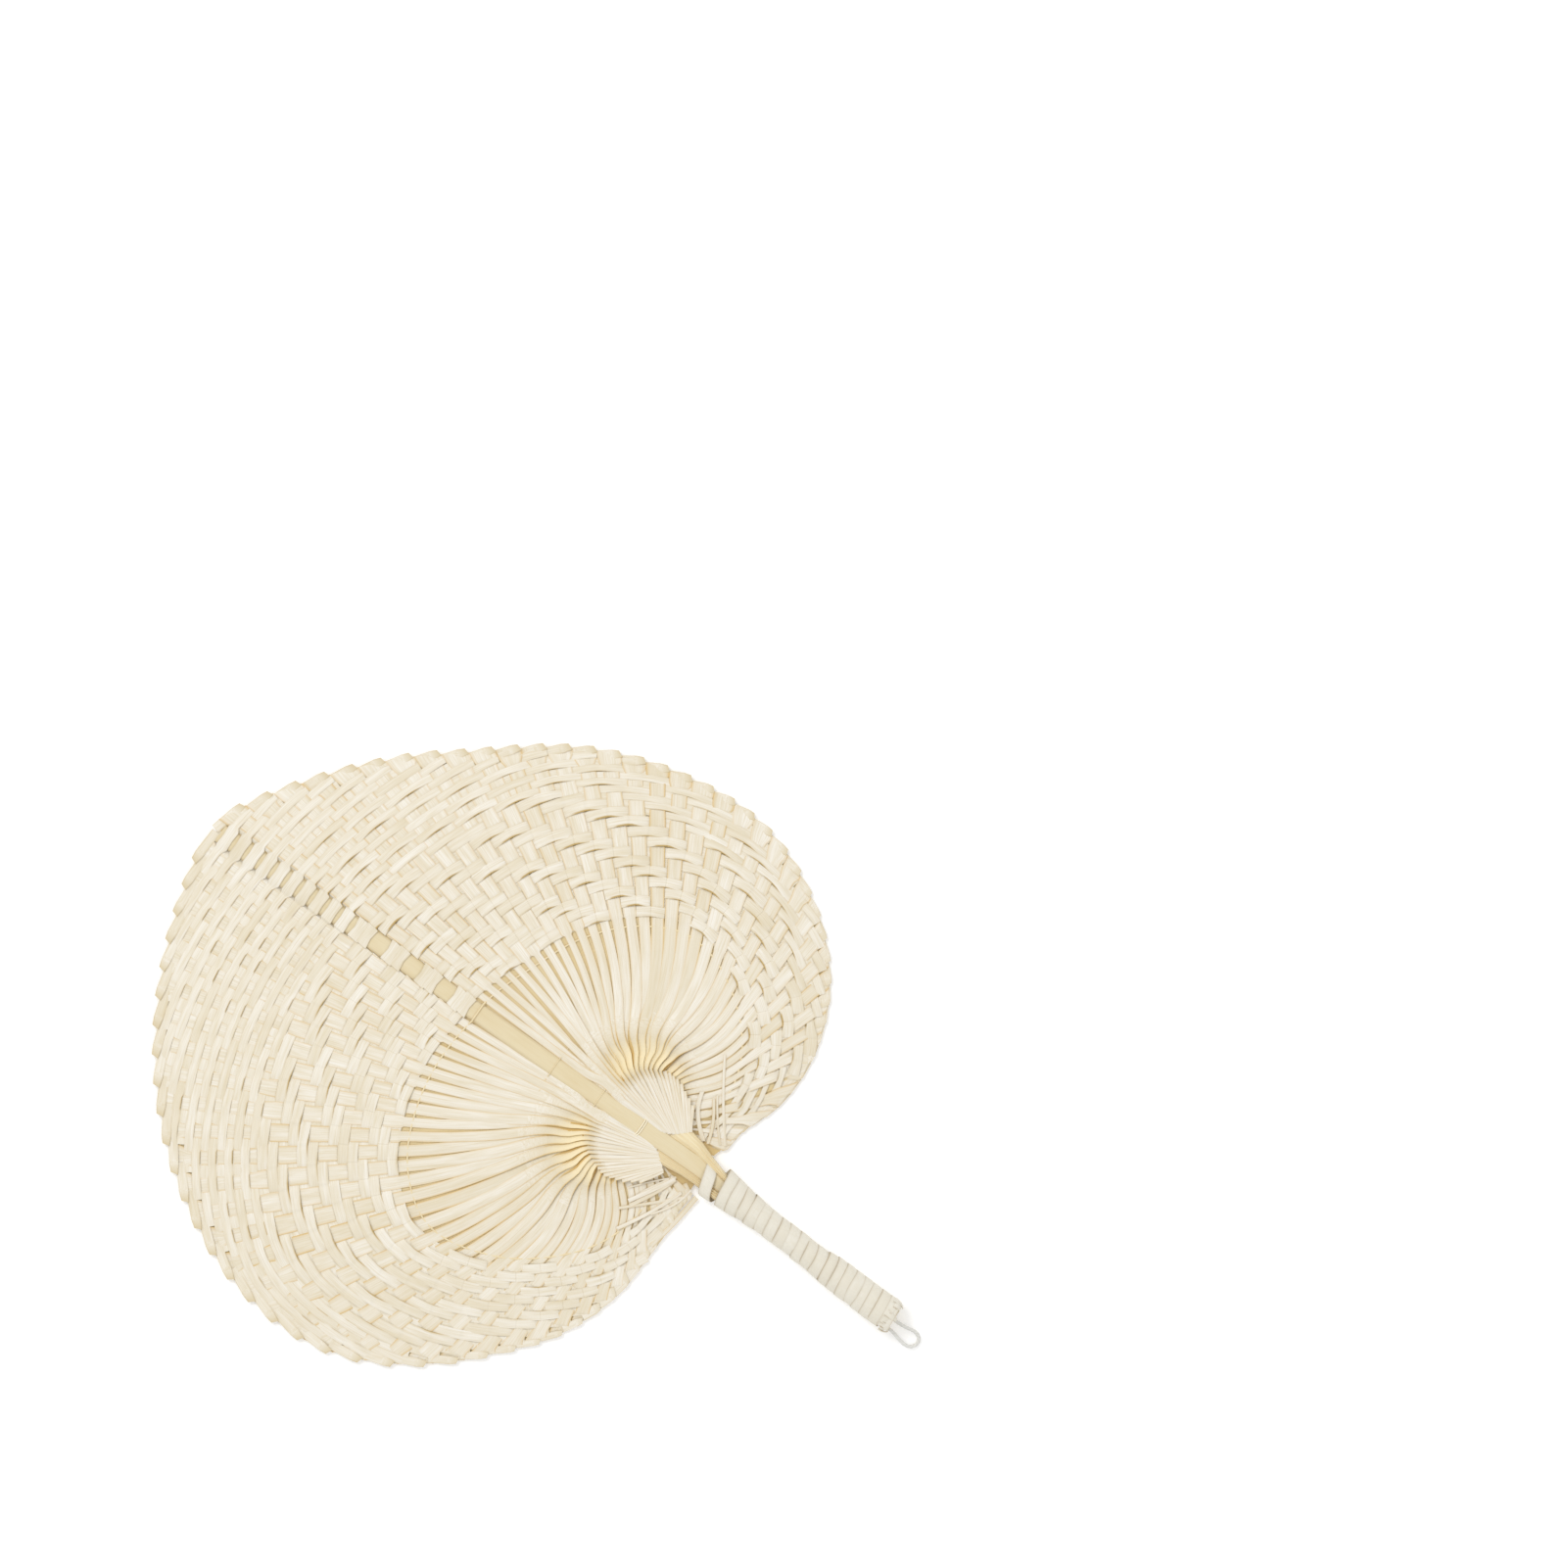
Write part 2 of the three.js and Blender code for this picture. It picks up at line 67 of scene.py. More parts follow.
# The fan lies on its grip and its rim, so its axis falls from the butt to the tip.
GRIP_LENGTH = 112.0
GRIP_TOP_Y = -12.0
GRIP_LEAN = 6.0
HUB_X, HUB_REACH = 4.95, 32.0
SPLINT_FOOT_Y, SPLINT_END_Y = 7.0, 281.0
BUTT_HEIGHT = 7.2
RIM_HEIGHT = 1.45
REST_FLAT = 0.5
GRIP_TAPER = 0.14

# Half widths and half heights of the splint from its foot to its end, and of its tang inside the grip
SPLINT_HALF_WIDTHS = 4.85, 4.6
SPLINT_HALF_HEIGHTS = 1.5, 0.55
TANG_HALF_WIDTHS = 2.8, 4.6
TANG_INSET = 3.0

# Strips spread over this angle from the splint. They lie closer together near it and are fewer near the grip.
SPREAD = math.radians(169)
NEAR_SPREAD, FAR_SPREAD = 0.72, 0.28
LOBE_PLACE = 0.74
LOBE_PITCH = 1.8

# Weft rows: wide twill rows near the hub, and a band of finer rows that ends inside the rim
TWILL_PITCH = 4.75
FINE_PITCH = 3.76
FINE_BAND = 22.0
RIM_MARGIN = 3.0

# Each half's rim and inner edge of the weave, as headings from the splint in degrees and distances from its
# hub, and what else differs between the halves: where the fine rows fade out, their pitch at the side, how
# much wider the rows get from a heading on, the width of a loose strip, the spare room between strips near
# the splint and beyond it, the slack of the wefts, the loose strips beside the grip, and the stalk's tone
# and widening.
HALVES = {
    "left": {
        "side": -1,
        "rim": [(0, 255), (28, 234), (42, 220.5), (55, 204.5), (68.5, 180), (89, 125), (100, 102), (114, 75),
                (128, 53), (150, 37), (172, 33)],
        "weave_start": [(0, 105), (27, 114.5), (42, 118), (56, 114.5), (70.5, 96), (90, 69), (121, 37),
                        (150, 21), (172, 17)],
        "fine_until": 60, "side_pitch": 4.0, "lobe": (1.2, 95, 35), "loose_width": (4.8, 0.2),
        "spare": (0.17, 0.0), "slack": 0.6, "strays": 8, "stalk_tone": 0.9, "stalk_widths": (1.45, 0.62),
    },
    "right": {
        "side": 1,
        "rim": [(0, 255), (11, 231), (21, 212), (30, 197), (45, 182), (59, 167.5), (75, 151), (91, 128.5),
                (106, 106), (120, 83.5), (136, 59), (150, 41), (172, 33)],
        "weave_start": [(0, 105), (17, 100), (33, 100), (52, 99), (67, 94), (90, 71), (110, 52), (130, 34),
                        (150, 21), (172, 17)],
        "fine_until": 95, "side_pitch": 3.1, "lobe": (1.4, 62, 45), "loose_width": (4.2, 0.3),
        "spare": (0.34, 0.04), "slack": 1.0, "strays": 4, "stalk_tone": 0.2, "stalk_widths": (1.0, 1.0),
    },
}

# Lines where the folds start beside the splint and the stalk, and where strips leave them
FOLD_ROOTS = [(3.8, 29), (4.8, 26), (6.0, 23.6), (7.6, 21.4), (9.4, 19.4), (11.6, 17)]
FOLD_ENDS = [(4.2, 56), (13.0, 57.5), (22, 54), (27, 46), (27.8, 36.5), (21, 22.5)]

# Half width of the bound grip along its length
GRIP_HALF_WIDTHS = [(-112, 8.3), (-90, 8), (-72, 7.8), (-68, 7.2), (-46, 6.95), (-32, 7.2), (-18, 8.6),
                    (-6, 9.7), (6, 11)]

# Route of the hanging loop: across the grip, and away from the butt
LOOP_ROUTE = [(-11.4, 0), (-11.6, 2), (-12.1, 4.4), (-12.7, 6.8), (-13.2, 9.2), (-13.3, 11.6), (-12.7, 13.7),
              (-11.4, 15.2), (-9.5, 15.9), (-7.6, 15.4), (-6.2, 13.9), (-5.6, 11.9), (-5.7, 9.6), (-6.1, 7.2),
              (-6.4, 4.8), (-6.5, 2.4), (-6.5, 0)]
LOOP_HINGE_Y = -113.25
LOOP_REACH = 15.9
CORD_RADIUS = 0.95


def shade(red, green, blue):
    """Linear colour of an sRGB colour that is given in 0 to 255."""
    levels = []
    for level in (red, green, blue):
        level /= 255
        levels.append(level / 12.92 if level <= 0.04045 else ((level + 0.055) / 1.055) ** 2.4)
    return tuple(levels)


def lerp(low, high, share):
    return low + (high - low) * share


def clamp(value, low=0.0, high=1.0):
    return max(low, min(high, value))


def ease(share):
    share = clamp(share)
    return share * share * (3 - 2 * share)


def fade(heading, start, over):
    """Eased share of a turn that begins at the heading start and goes over some degrees."""
    return ease((heading - math.radians(start)) / math.radians(over))


def bell(position, middle, width):
    return math.exp(-((position - middle) / width) ** 2)


def curve_through(points, position):
    """Smooth curve through (position, value) points."""
    last = len(points) - 1
    first = 0
    while first < last - 1 and position > points[first + 1][0]:
        first += 1

    def slope(index):
        before = points[max(index - 1, 0)]
        after = points[min(index + 1, last)]
        return (after[1] - before[1]) / (after[0] - before[0])

    start, end = points[first], points[first + 1]
    length = end[0] - start[0]
    rise = end[1] - start[1]
    t = clamp((position - start[0]) / length)
    lean = (slope(first) * length - rise) * (1 - t) - (slope(first + 1) * length - rise) * t
    return start[1] + rise * t + t * (1 - t) * lean


def placed(x, y, z):
    """Point of the pattern, in millimetres, as a point of the CAD frame."""
    return Vector((x * MM + FOOT_X, y * MM + FOOT_Y, z * MM))


def levelled(run):
    """Level direction of a run."""
    return Vector((run.x, run.y, 0)).normalized()


def axis_height(y):
    return lerp(BUTT_HEIGHT, RIM_HEIGHT, (y + GRIP_LENGTH) / (TIP_REACH + GRIP_LENGTH))


HUB_HEIGHT = axis_height(HUB_REACH)


def grip_centre(y):
    """Place of the grip across the fan. It bends to the left below the splint's foot."""
    return -GRIP_LEAN * clamp((SPLINT_FOOT_Y - y) / (SPLINT_FOOT_Y + GRIP_LENGTH)) ** 0.7


def grip_half_width(y):
    return curve_through(GRIP_HALF_WIDTHS, y)


def grip_half_height(y):
    return axis_height(y) + REST_FLAT - GRIP_TAPER * max(y - GRIP_TOP_Y, 0)


def along_splint(y):
    return (y - SPLINT_FOOT_Y) / (SPLINT_END_Y - SPLINT_FOOT_Y)


def along_tang(y):
    return clamp((y - GRIP_TOP_Y) / (SPLINT_FOOT_Y - GRIP_TOP_Y))


def splint_half_width(y):
    if y >= SPLINT_FOOT_Y:
        return lerp(*SPLINT_HALF_WIDTHS, along_splint(y))
    return lerp(*TANG_HALF_WIDTHS, along_tang(y))


def splint_half_height(y):
    if y >= SPLINT_FOOT_Y:
        return lerp(*SPLINT_HALF_HEIGHTS, along_splint(y))
    inside = grip_half_height(min(y, GRIP_TOP_Y)) - TANG_INSET
    return lerp(inside, SPLINT_HALF_HEIGHTS[0], along_tang(y))


class Half:
    """One half of the leaf: places of its rim, strips, weft rows and folds, from its values in HALVES.

    Headings are in radians from the splint, and distances in millimetres from the hub.
    """

    def __init__(self, name, settings):
        self.name = name
        self.strips = settings.strips
        self.twill_rows = settings.twill_rows
        vars(self).update(HALVES[name])

    def rim_at(self, heading):
        return curve_through(self.rim, math.degrees(heading))

    def weave_start_at(self, heading):
        return curve_through(self.weave_start, math.degrees(heading))

    def point(self, heading, distance, level=0.0):
        """Point of the pattern, at a level above the middle of the leaf."""
        x = self.side * (HUB_X + distance * math.sin(heading))
        y = HUB_REACH + distance * math.cos(heading)
        height = lerp(HUB_HEIGHT, RIM_HEIGHT, distance / self.rim_at(heading))
        return Vector((x, y, height + level))

    def rim_run(self, heading):
        """Direction of the rim away from the splint."""
        before, after = (self.point(near, self.rim_at(near)) for near in (heading - 0.02, heading + 0.02))
        return levelled(after - before)

    def outward(self, run):
        """Level direction square to a run, away from the splint."""
        return Vector((run.y * self.side, -run.x * self.side, 0))

    def fold_point(self, line, share, level):
        """Point on the line of fold roots or fold ends, from the splint at 0 to the stalk at 1."""
        last = len(line) - 1
        x, y = (curve_through([(index, point[axis]) for index, point in enumerate(line)], share * last)
                for axis in (0, 1))
        return Vector((self.side * x, y, HUB_HEIGHT + level))

    def heading_of(self, place):
        """Heading of a place that is counted in strips from the splint."""
        share = place / self.strips
        return SPREAD * (NEAR_SPREAD * share + FAR_SPREAD * share * share)

    def is_split(self, index):
        """Whether a strip is there: near the grip the leaf is split half as often."""
        return index < LOBE_PLACE * self.strips or int(index) % 2 == 0

    def crossing_pitch(self, index, distance):
        """Distance from a strip to the next one, across the leaf."""
        step = self.heading_of(index + 1) - self.heading_of(index)
        return distance * step * (1 if index < LOBE_PLACE * self.strips else LOBE_PITCH)

    def lobe_share(self, heading):
        """Widening of the rows towards the grip, where the weave is looser."""
        widest, start, over = self.lobe
        return lerp(1, widest, fade(heading, start, over))

    def twill_count(self, heading):
        """Rows of the wider pitch at a heading. The band outside them has the finer pitch."""
        room = self.rim_at(heading) - self.weave_start_at(heading) - RIM_MARGIN
        band = FINE_BAND * (1 - fade(heading, self.fine_until, 28))
        return clamp((room - band) / (TWILL_PITCH * self.lobe_share(heading)), 3, self.twill_rows)

    def fine_pitch(self, heading):
        return lerp(FINE_PITCH, self.side_pitch, fade(heading, 0, 70))

    def row_pitch(self, heading, row):
        twill = row + 0.5 < self.twill_count(heading)
        return (TWILL_PITCH if twill else self.fine_pitch(heading)) * self.lobe_share(heading)

    def row_distance(self, heading, row):
        """Distance of the middle of a weft row from the hub."""
        count = self.twill_count(heading)
        lower = min(row + 0.5, count)
        upper = max(row + 0.5 - count, 0)
        reach = lower * TWILL_PITCH + upper * self.fine_pitch(heading)
        return self.weave_start_at(heading) + reach * self.lobe_share(heading)

    def reaches(self, heading, row):
        """Whether a weft row lies inside the rim at a heading."""
        return self.row_distance(heading, row) <= self.rim_at(heading) - RIM_MARGIN

    def fine_share(self, heading, distance):
        """0 among the wider twill rows and 1 among the finer rows outside them."""
        twill = self.twill_count(heading) * TWILL_PITCH * self.lobe_share(heading)
        return ease((distance - self.weave_start_at(heading) - twill) / 12 + 0.5)

    def woven_width(self, pitch, fine):
        """Width of a strip in the weave: nearly its pitch in the twill, and with a gap near the rim."""
        least, share = self.loose_width
        narrow = least + share * pitch
        return min(lerp(max(narrow, pitch * 0.82), narrow, fine), pitch * 1.04)

    def loose_share(self, heading, distance):
        """0 in the close weave and 1 beside the grip, where wefts and strips are thin and gaps stay open."""
        inside = 1 - ease((distance - (self.rim_at(heading) - 13)) / 7)
        return fade(heading, 102, 26) * inside

    def row_shift(self, row):
        """Steps that the pattern of a row has moved on by: one a row in the twill, then two."""
        return row if row < self.twill_rows else self.twill_rows + 2 * (row - self.twill_rows)

    def passes(self, place, row):
        """1 where a weft lies over a place, counted in strips from the splint, and -1 where it is under."""
        return 1 if (place + self.row_shift(row)) % 4 < 2 else -1


def leaf_halves(context):
    return [Half(name, context.scene.palm_fan) for name in HALVES]


def dome(a):
    """Low crown across a strip, from -1 to 1."""
    return 1 - a * a


def rounded(power):
    """Profile across a bar, from -1 to 1, whose sides are squarer with a higher power."""
    return lambda a: max(0.0, 1 - abs(a) ** power) ** (1 / power)


def start_mesh():
    """New bmesh with the grain attribute: place across from -1 to 1, length along in metres, and tone."""
    mesh = bmesh.new()
    mesh.verts.layers.float_vector.new("grain")
    return mesh


def measured(frames, length=0.0):
    """Frames of a centre, a half width and a crown height, with the length along their centres."""
    run = []
    before = frames[0][0]
    for centre, across, up in frames:
        length += (centre - before).length
        before = centre
        run.append((centre, across, up, length))
    return run


def ribbon(mesh, frames, columns, tone, crown=dome, turned=False, slits=None):
    """Strip over a row of frames, each a centre, a half width, a crown height and a length, in millimetres.

    A slit moves the place across past -1 at the inner edge of its frame, which the leaf material paints brown
    as the shade in the slit.
    A turned strip has its grain across the frames, and their lengths are its places across.
    """
    grain = mesh.verts.layers.float_vector["grain"]
    rows = len(frames) - 1
    tones = tone if isinstance(tone, list) else [tone] * len(frames)
    made = bmesh.ops.create_grid(mesh, x_segments=columns, y_segments=rows, size=0.5)
    for vert in made["verts"]:
        a = 2 * vert.co.x
        row = round((vert.co.y + 0.5) * rows)
        centre, across, up, length = frames[row]
        vert.co = placed(*(centre + across * a + up * crown(a)))
        if turned:
            vert[grain] = (length, (a + 1) * across.length * MM, tones[row])
        else:
            vert[grain] = (a - (slits[row] if slits and a < -0.9 else 0), length * MM, tones[row])


def closed_bar(mesh, frames, columns, tone, crown, turned=False):
    """Bar with the same profile above and below its frames, closed at both ends."""
    turned_over = [(centre, across, -up, length) for centre, across, up, length in frames]
    ribbon(mesh, frames, columns, tone, crown, turned)
    ribbon(mesh, turned_over, columns, tone, crown, turned)
    bmesh.ops.remove_doubles(mesh, verts=mesh.verts[:], dist=0.02 * MM)
    open_edges = [edge for edge in mesh.edges if edge.is_boundary]
    bmesh.ops.holes_fill(mesh, edges=open_edges, sides=0)


def finish_mesh(mesh, name, body, material, thickness=0.0, sharp=35.0):
    """Object of the mesh on a body, with an even thickness in millimetres where one is given."""
    if thickness:
        mesh.normal_update()
        grown = bmesh.ops.extrude_face_region(mesh, geom=mesh.faces[:])
        for vert in grown["geom"]:
            if isinstance(vert, bmesh.types.BMVert):
                vert.co += vert.normal * thickness * MM
    bmesh.ops.recalc_face_normals(mesh, faces=mesh.faces[:])
    for face in mesh.faces:
        face.smooth = True
    for edge in mesh.edges:
        edge.smooth = len(edge.link_faces) == 2 and edge.calc_face_angle() < math.radians(sharp)
    data = bpy.data.meshes.new(name)
    mesh.to_mesh(data)
    mesh.free()
    data.materials.append(material)
    piece = bpy.data.objects.new(name, data)
    bpy.context.scene.collection.objects.link(piece)
    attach(piece, body)
    return piece


def add_node(tree, kind, settings=None, **values):
    """Node of a tree. A value that is a socket is linked, and any other is set on the socket."""
    node = tree.nodes.new(kind)
    for key, value in (settings or {}).items():
        setattr(node, key, value)
    for key, value in values.items():
        socket = node.inputs[int(key[1:])] if key[0] == "i" and key[1:].isdigit() else node.inputs[key]
        if isinstance(value, bpy.types.NodeSocket):
            tree.links.new(value, socket)
        else:
            socket.default_value = value
    return node


def math_node(tree, operation, first, second=0.0, third=0.0):
    return add_node(tree, "ShaderNodeMath", {"operation": operation}, i0=first, i1=second, i2=third).outputs[0]


def remap(tree, value, low, high, to_low=0.0, to_high=1.0):
    """Value moved from the range low to high into another range, and held inside it."""
    limits = {"From Min": low, "From Max": high, "To Min": to_low, "To Max": to_high}
    return add_node(tree, "ShaderNodeMapRange", Value=value, **limits).outputs[0]


def mix_colour(tree, factor, first, second):
    """Mix of two colours, of which the second is always a fixed one."""
    first = first if isinstance(first, bpy.types.NodeSocket) else (*first, 1.0)
    node = add_node(tree, "ShaderNodeMix", {"data_type": "RGBA"}, i0=factor, i6=first, i7=(*second, 1.0))
    return node.outputs[2]


# The noise moves on by this with the tone, so that strips of different tones have different streaks.
TONE_SHIFT = 53.0
# Brown that paints the shade in the slits beside loose wefts and in the creases between the folds
SLIT_SHADE_BROWN = shade(190, 160, 98)


def leaf_fibre_group():
    """Streaks and mottling along the grain of a dried leaf strip, and the masks of its edges and of the slits
    past them, where the leaf material paints shade.
    """
    group = bpy.data.node_groups.get("leaf_fibre")
    if group:
        return group
    group = bpy.data.node_groups.new("leaf_fibre", "ShaderNodeTree")
    new_socket = group.interface.new_socket
    new_socket("Grain", in_out="INPUT", socket_type="NodeSocketVector")
    for name, default in (("Fibres", 9.0), ("Streak length", 60.0), ("Mottle length", 45.0)):
        new_socket(name, in_out="INPUT", socket_type="NodeSocketFloat").default_value = default
    for name in ("Streak", "Mottle", "Edge", "Slit", "Tone"):
        new_socket(name, in_out="OUTPUT", socket_type="NodeSocketFloat")
    source = group.nodes.new("NodeGroupInput")
    across, along, tone = add_node(group, "ShaderNodeSeparateXYZ", Vector=source.outputs["Grain"]).outputs

    def noise(across_scale, along_scale, detail):
        scales = ((across, across_scale), (along, along_scale), (tone, TONE_SHIFT))
        x, y, z = (math_node(group, "MULTIPLY", value, scale) for value, scale in scales)
        place = add_node(group, "ShaderNodeCombineXYZ", X=x, Y=y, Z=z).outputs[0]
        return add_node(
            group, "ShaderNodeTexNoise", Vector=place, Scale=1.0, Detail=detail, Roughness=0.6).outputs[0]

    far = math_node(group, "ABSOLUTE", across)
    inside = math_node(group, "MINIMUM", far, 1.0)
    target = group.nodes.new("NodeGroupOutput")
    for name, value in (
            ("Streak", noise(source.outputs["Fibres"], source.outputs["Streak length"], 4.0)),
            ("Mottle", noise(0.9, source.outputs["Mottle length"], 2.0)),
            ("Edge", math_node(group, "POWER", inside, 7.0)),
            ("Slit", math_node(group, "SUBTRACT", far, inside)),
            ("Tone", tone)):
        group.links.new(value, target.inputs[name])
    return group


def leaf_material(name, light, tan, edge, roughness, fibres=9.0, streak_share=0.7, edge_share=0.6, bump=0.25,
                  high_tone_colour=None):
    """Dried leaf: pale body with tan streaks along the grain, a warmer edge and a fine ribbed surface. The
    edge colour is partly the cut edge's own colour and partly painted shade between strips and turns, and a
    slit past the edge is painted brown as shade.

    A tone up to 1 turns the body tan, and from 1 to 2 it turns to a second colour, which on the strips is
    partly a painted glow of light through them and on the backing is painted shade.
    """
    material = bpy.data.materials.new(name)
    material.use_nodes = True
    tree = material.node_tree
    tree.nodes.clear()
    grain = add_node(tree, "ShaderNodeAttribute", {"attribute_name": "grain"})
    fibre = add_node(
        tree, "ShaderNodeGroup", {"node_tree": leaf_fibre_group()}, Grain=grain.outputs["Vector"],
        Fibres=fibres)
    streak, mottle, edge_mask, slit, tone = fibre.outputs
    body_tone = math_node(tree, "MINIMUM", tone, 1.0)
    # Edges take the edge colour: partly the cut edge's own colour, partly painted shade in the crevices beside
    # them.
    edge_mix = math_node(tree, "MULTIPLY_ADD", body_tone, edge_share, edge_share * 0.35)
    colour = mix_colour(tree, math_node(tree, "MULTIPLY", body_tone, 0.6), light, tan)
    for share, layer in (
            (remap(tree, mottle, 0.4, 0.75, 0.0, 0.5), tan),
            (remap(tree, streak, 0.42, 0.74, 0.0, streak_share), tan),
            (math_node(tree, "MULTIPLY", edge_mask, edge_mix), edge),
            (remap(tree, tone, 1.0, 2.0), high_tone_colour or tan),
            (remap(tree, slit, 0.05, 0.5), SLIT_SHADE_BROWN)):
        colour = mix_colour(tree, share, colour, layer)
    rough = remap(tree, streak, 0.0, 1.0, roughness - 0.08, roughness + 0.12)
    relief = add_node(tree, "ShaderNodeBump", Strength=bump, Distance=0.0002, Height=streak)
    shader = add_node(tree, "ShaderNodeBsdfPrincipled", Roughness=rough, Normal=relief.outputs[0])
    tree.links.new(colour, shader.inputs["Base Color"])
    target = add_node(tree, "ShaderNodeOutputMaterial")
    tree.links.new(shader.outputs[0], target.inputs[0])
    return material


class FanSettings(bpy.types.PropertyGroup):
    """Sizes and colours of the fan that a user may change."""

    strips: IntProperty(name="Strips", description="Leaf strips in each half", default=42, min=12, max=60)
    rows: IntProperty(name="Weft rows", description="Rows of weft along the splint", default=35, min=15,
                      max=45)
    twill_rows: IntProperty(name="Twill rows", description="Lower rows that are woven as twill", default=14)
    weave_height: FloatProperty(
        name="Weave height", description="Rise of a strip or weft over a crossing", default=0.0003,
        unit="LENGTH")
    leaf_light: FloatVectorProperty(
        name="Leaf, pale", description="Pale body of the bleached leaf", default=shade(243, 238, 227),
        subtype="COLOR")
    leaf_tan: FloatVectorProperty(
        name="Leaf, tan", description="Tan streaks of the leaf", default=shade(216, 200, 162), subtype="COLOR")
    # The edge colour is partly the cut edges' own warm colour and partly painted shade in the crevices between
    # strips.
    leaf_edge: FloatVectorProperty(
        name="Leaf, edge", description="Warm cut edges of the leaf", default=shade(202, 178, 124),
        subtype="COLOR")
    fold_white: FloatVectorProperty(
        name="Folds", description="Nearly white folded hub", default=shade(241, 236, 226), subtype="COLOR")
    stalk_yellow: FloatVectorProperty(
        name="Stalk", description="Yellow leaf stalk", default=shade(243, 229, 192), subtype="COLOR")
    bamboo: FloatVectorProperty(
        name="Bamboo", description="Pale tan splint", default=shade(229, 215, 180), subtype="COLOR")
    binding: FloatVectorProperty(
        name="Binding", description="Off-white strip round the grip", default=shade(235, 231, 219),
        subtype="COLOR")
    cord: FloatVectorProperty(
        name="Cord", description="White cord of the loop", default=shade(232, 231, 226), subtype="COLOR")


STRIP_THICKNESS = 0.3
STRIP_CROWN = 0.3
BACKING_THICKNESS = 0.25
BACKING_DEPTH = 0.7
FREE_STEPS = 18

# A strip lies flat from this far inside the weave on.
FLAT_MARGIN = 7.0

# Ridges of the folds: steps along each, turn about its run, levels of its ends, and width at its root
RIDGE_STEPS = 6
RIDGE_TILT = math.radians(21)
RIDGE_LOW, RIDGE_HIGH = 1.0, 1.1
RIDGE_ROOT_WIDTH = 1.5
RIDGE_NARROWING = 0.85

# Width of a strip where it leaves the folds, and its turn on edge there in degrees: beside the splint, and
# from the seventh strip on
ROOT_WIDTHS = 4.6, 3.7
ROOT_TURNS = 8, 36
BACKING_ROOT_WIDTH, BACKING_SPREAD = 6.0, 1.15

# The first strip bows away from the splint, and pairs of strips bow together where they leave the folds.
FIRST_BOW = 1.9
PAIR_BOW, PAIR_BOW_CHANGE = 1.25, 0.3

# From this heading on, in degrees, the strips don't run over the folds but start below them, at this point.
UNFOLDED_FROM = 72
HIDDEN_ROOT = (12.0, 30.0)
FIRST_SIDE_RIDGE = 27

FOLDS = 21
STEPS_PER_FOLD = 8


def weave_level(settings, fine):
    """Rise over a crossing, in millimetres."""
    return settings.weave_height / MM * lerp(1.1, 0.75, fine)


def tilted_frame(half, point, run, tilt, width, length):
    """Frame of a strip that is turned about its run, so that its outer edge is up."""
    outward = half.outward(levelled(run))
    across = (outward * math.cos(tilt) + UP * math.sin(tilt)) * width / 2
    normal = outward * -math.sin(tilt) + UP * math.cos(tilt)
    return point, across, normal * STRIP_CROWN, length


def ridge_point(low, high, t, phase):
    """Point along a ridge of the folds, which wavers a little."""
    return low.lerp(high, t) + Vector((0.25 * math.sin(t * 5 + phase), 0, 0))


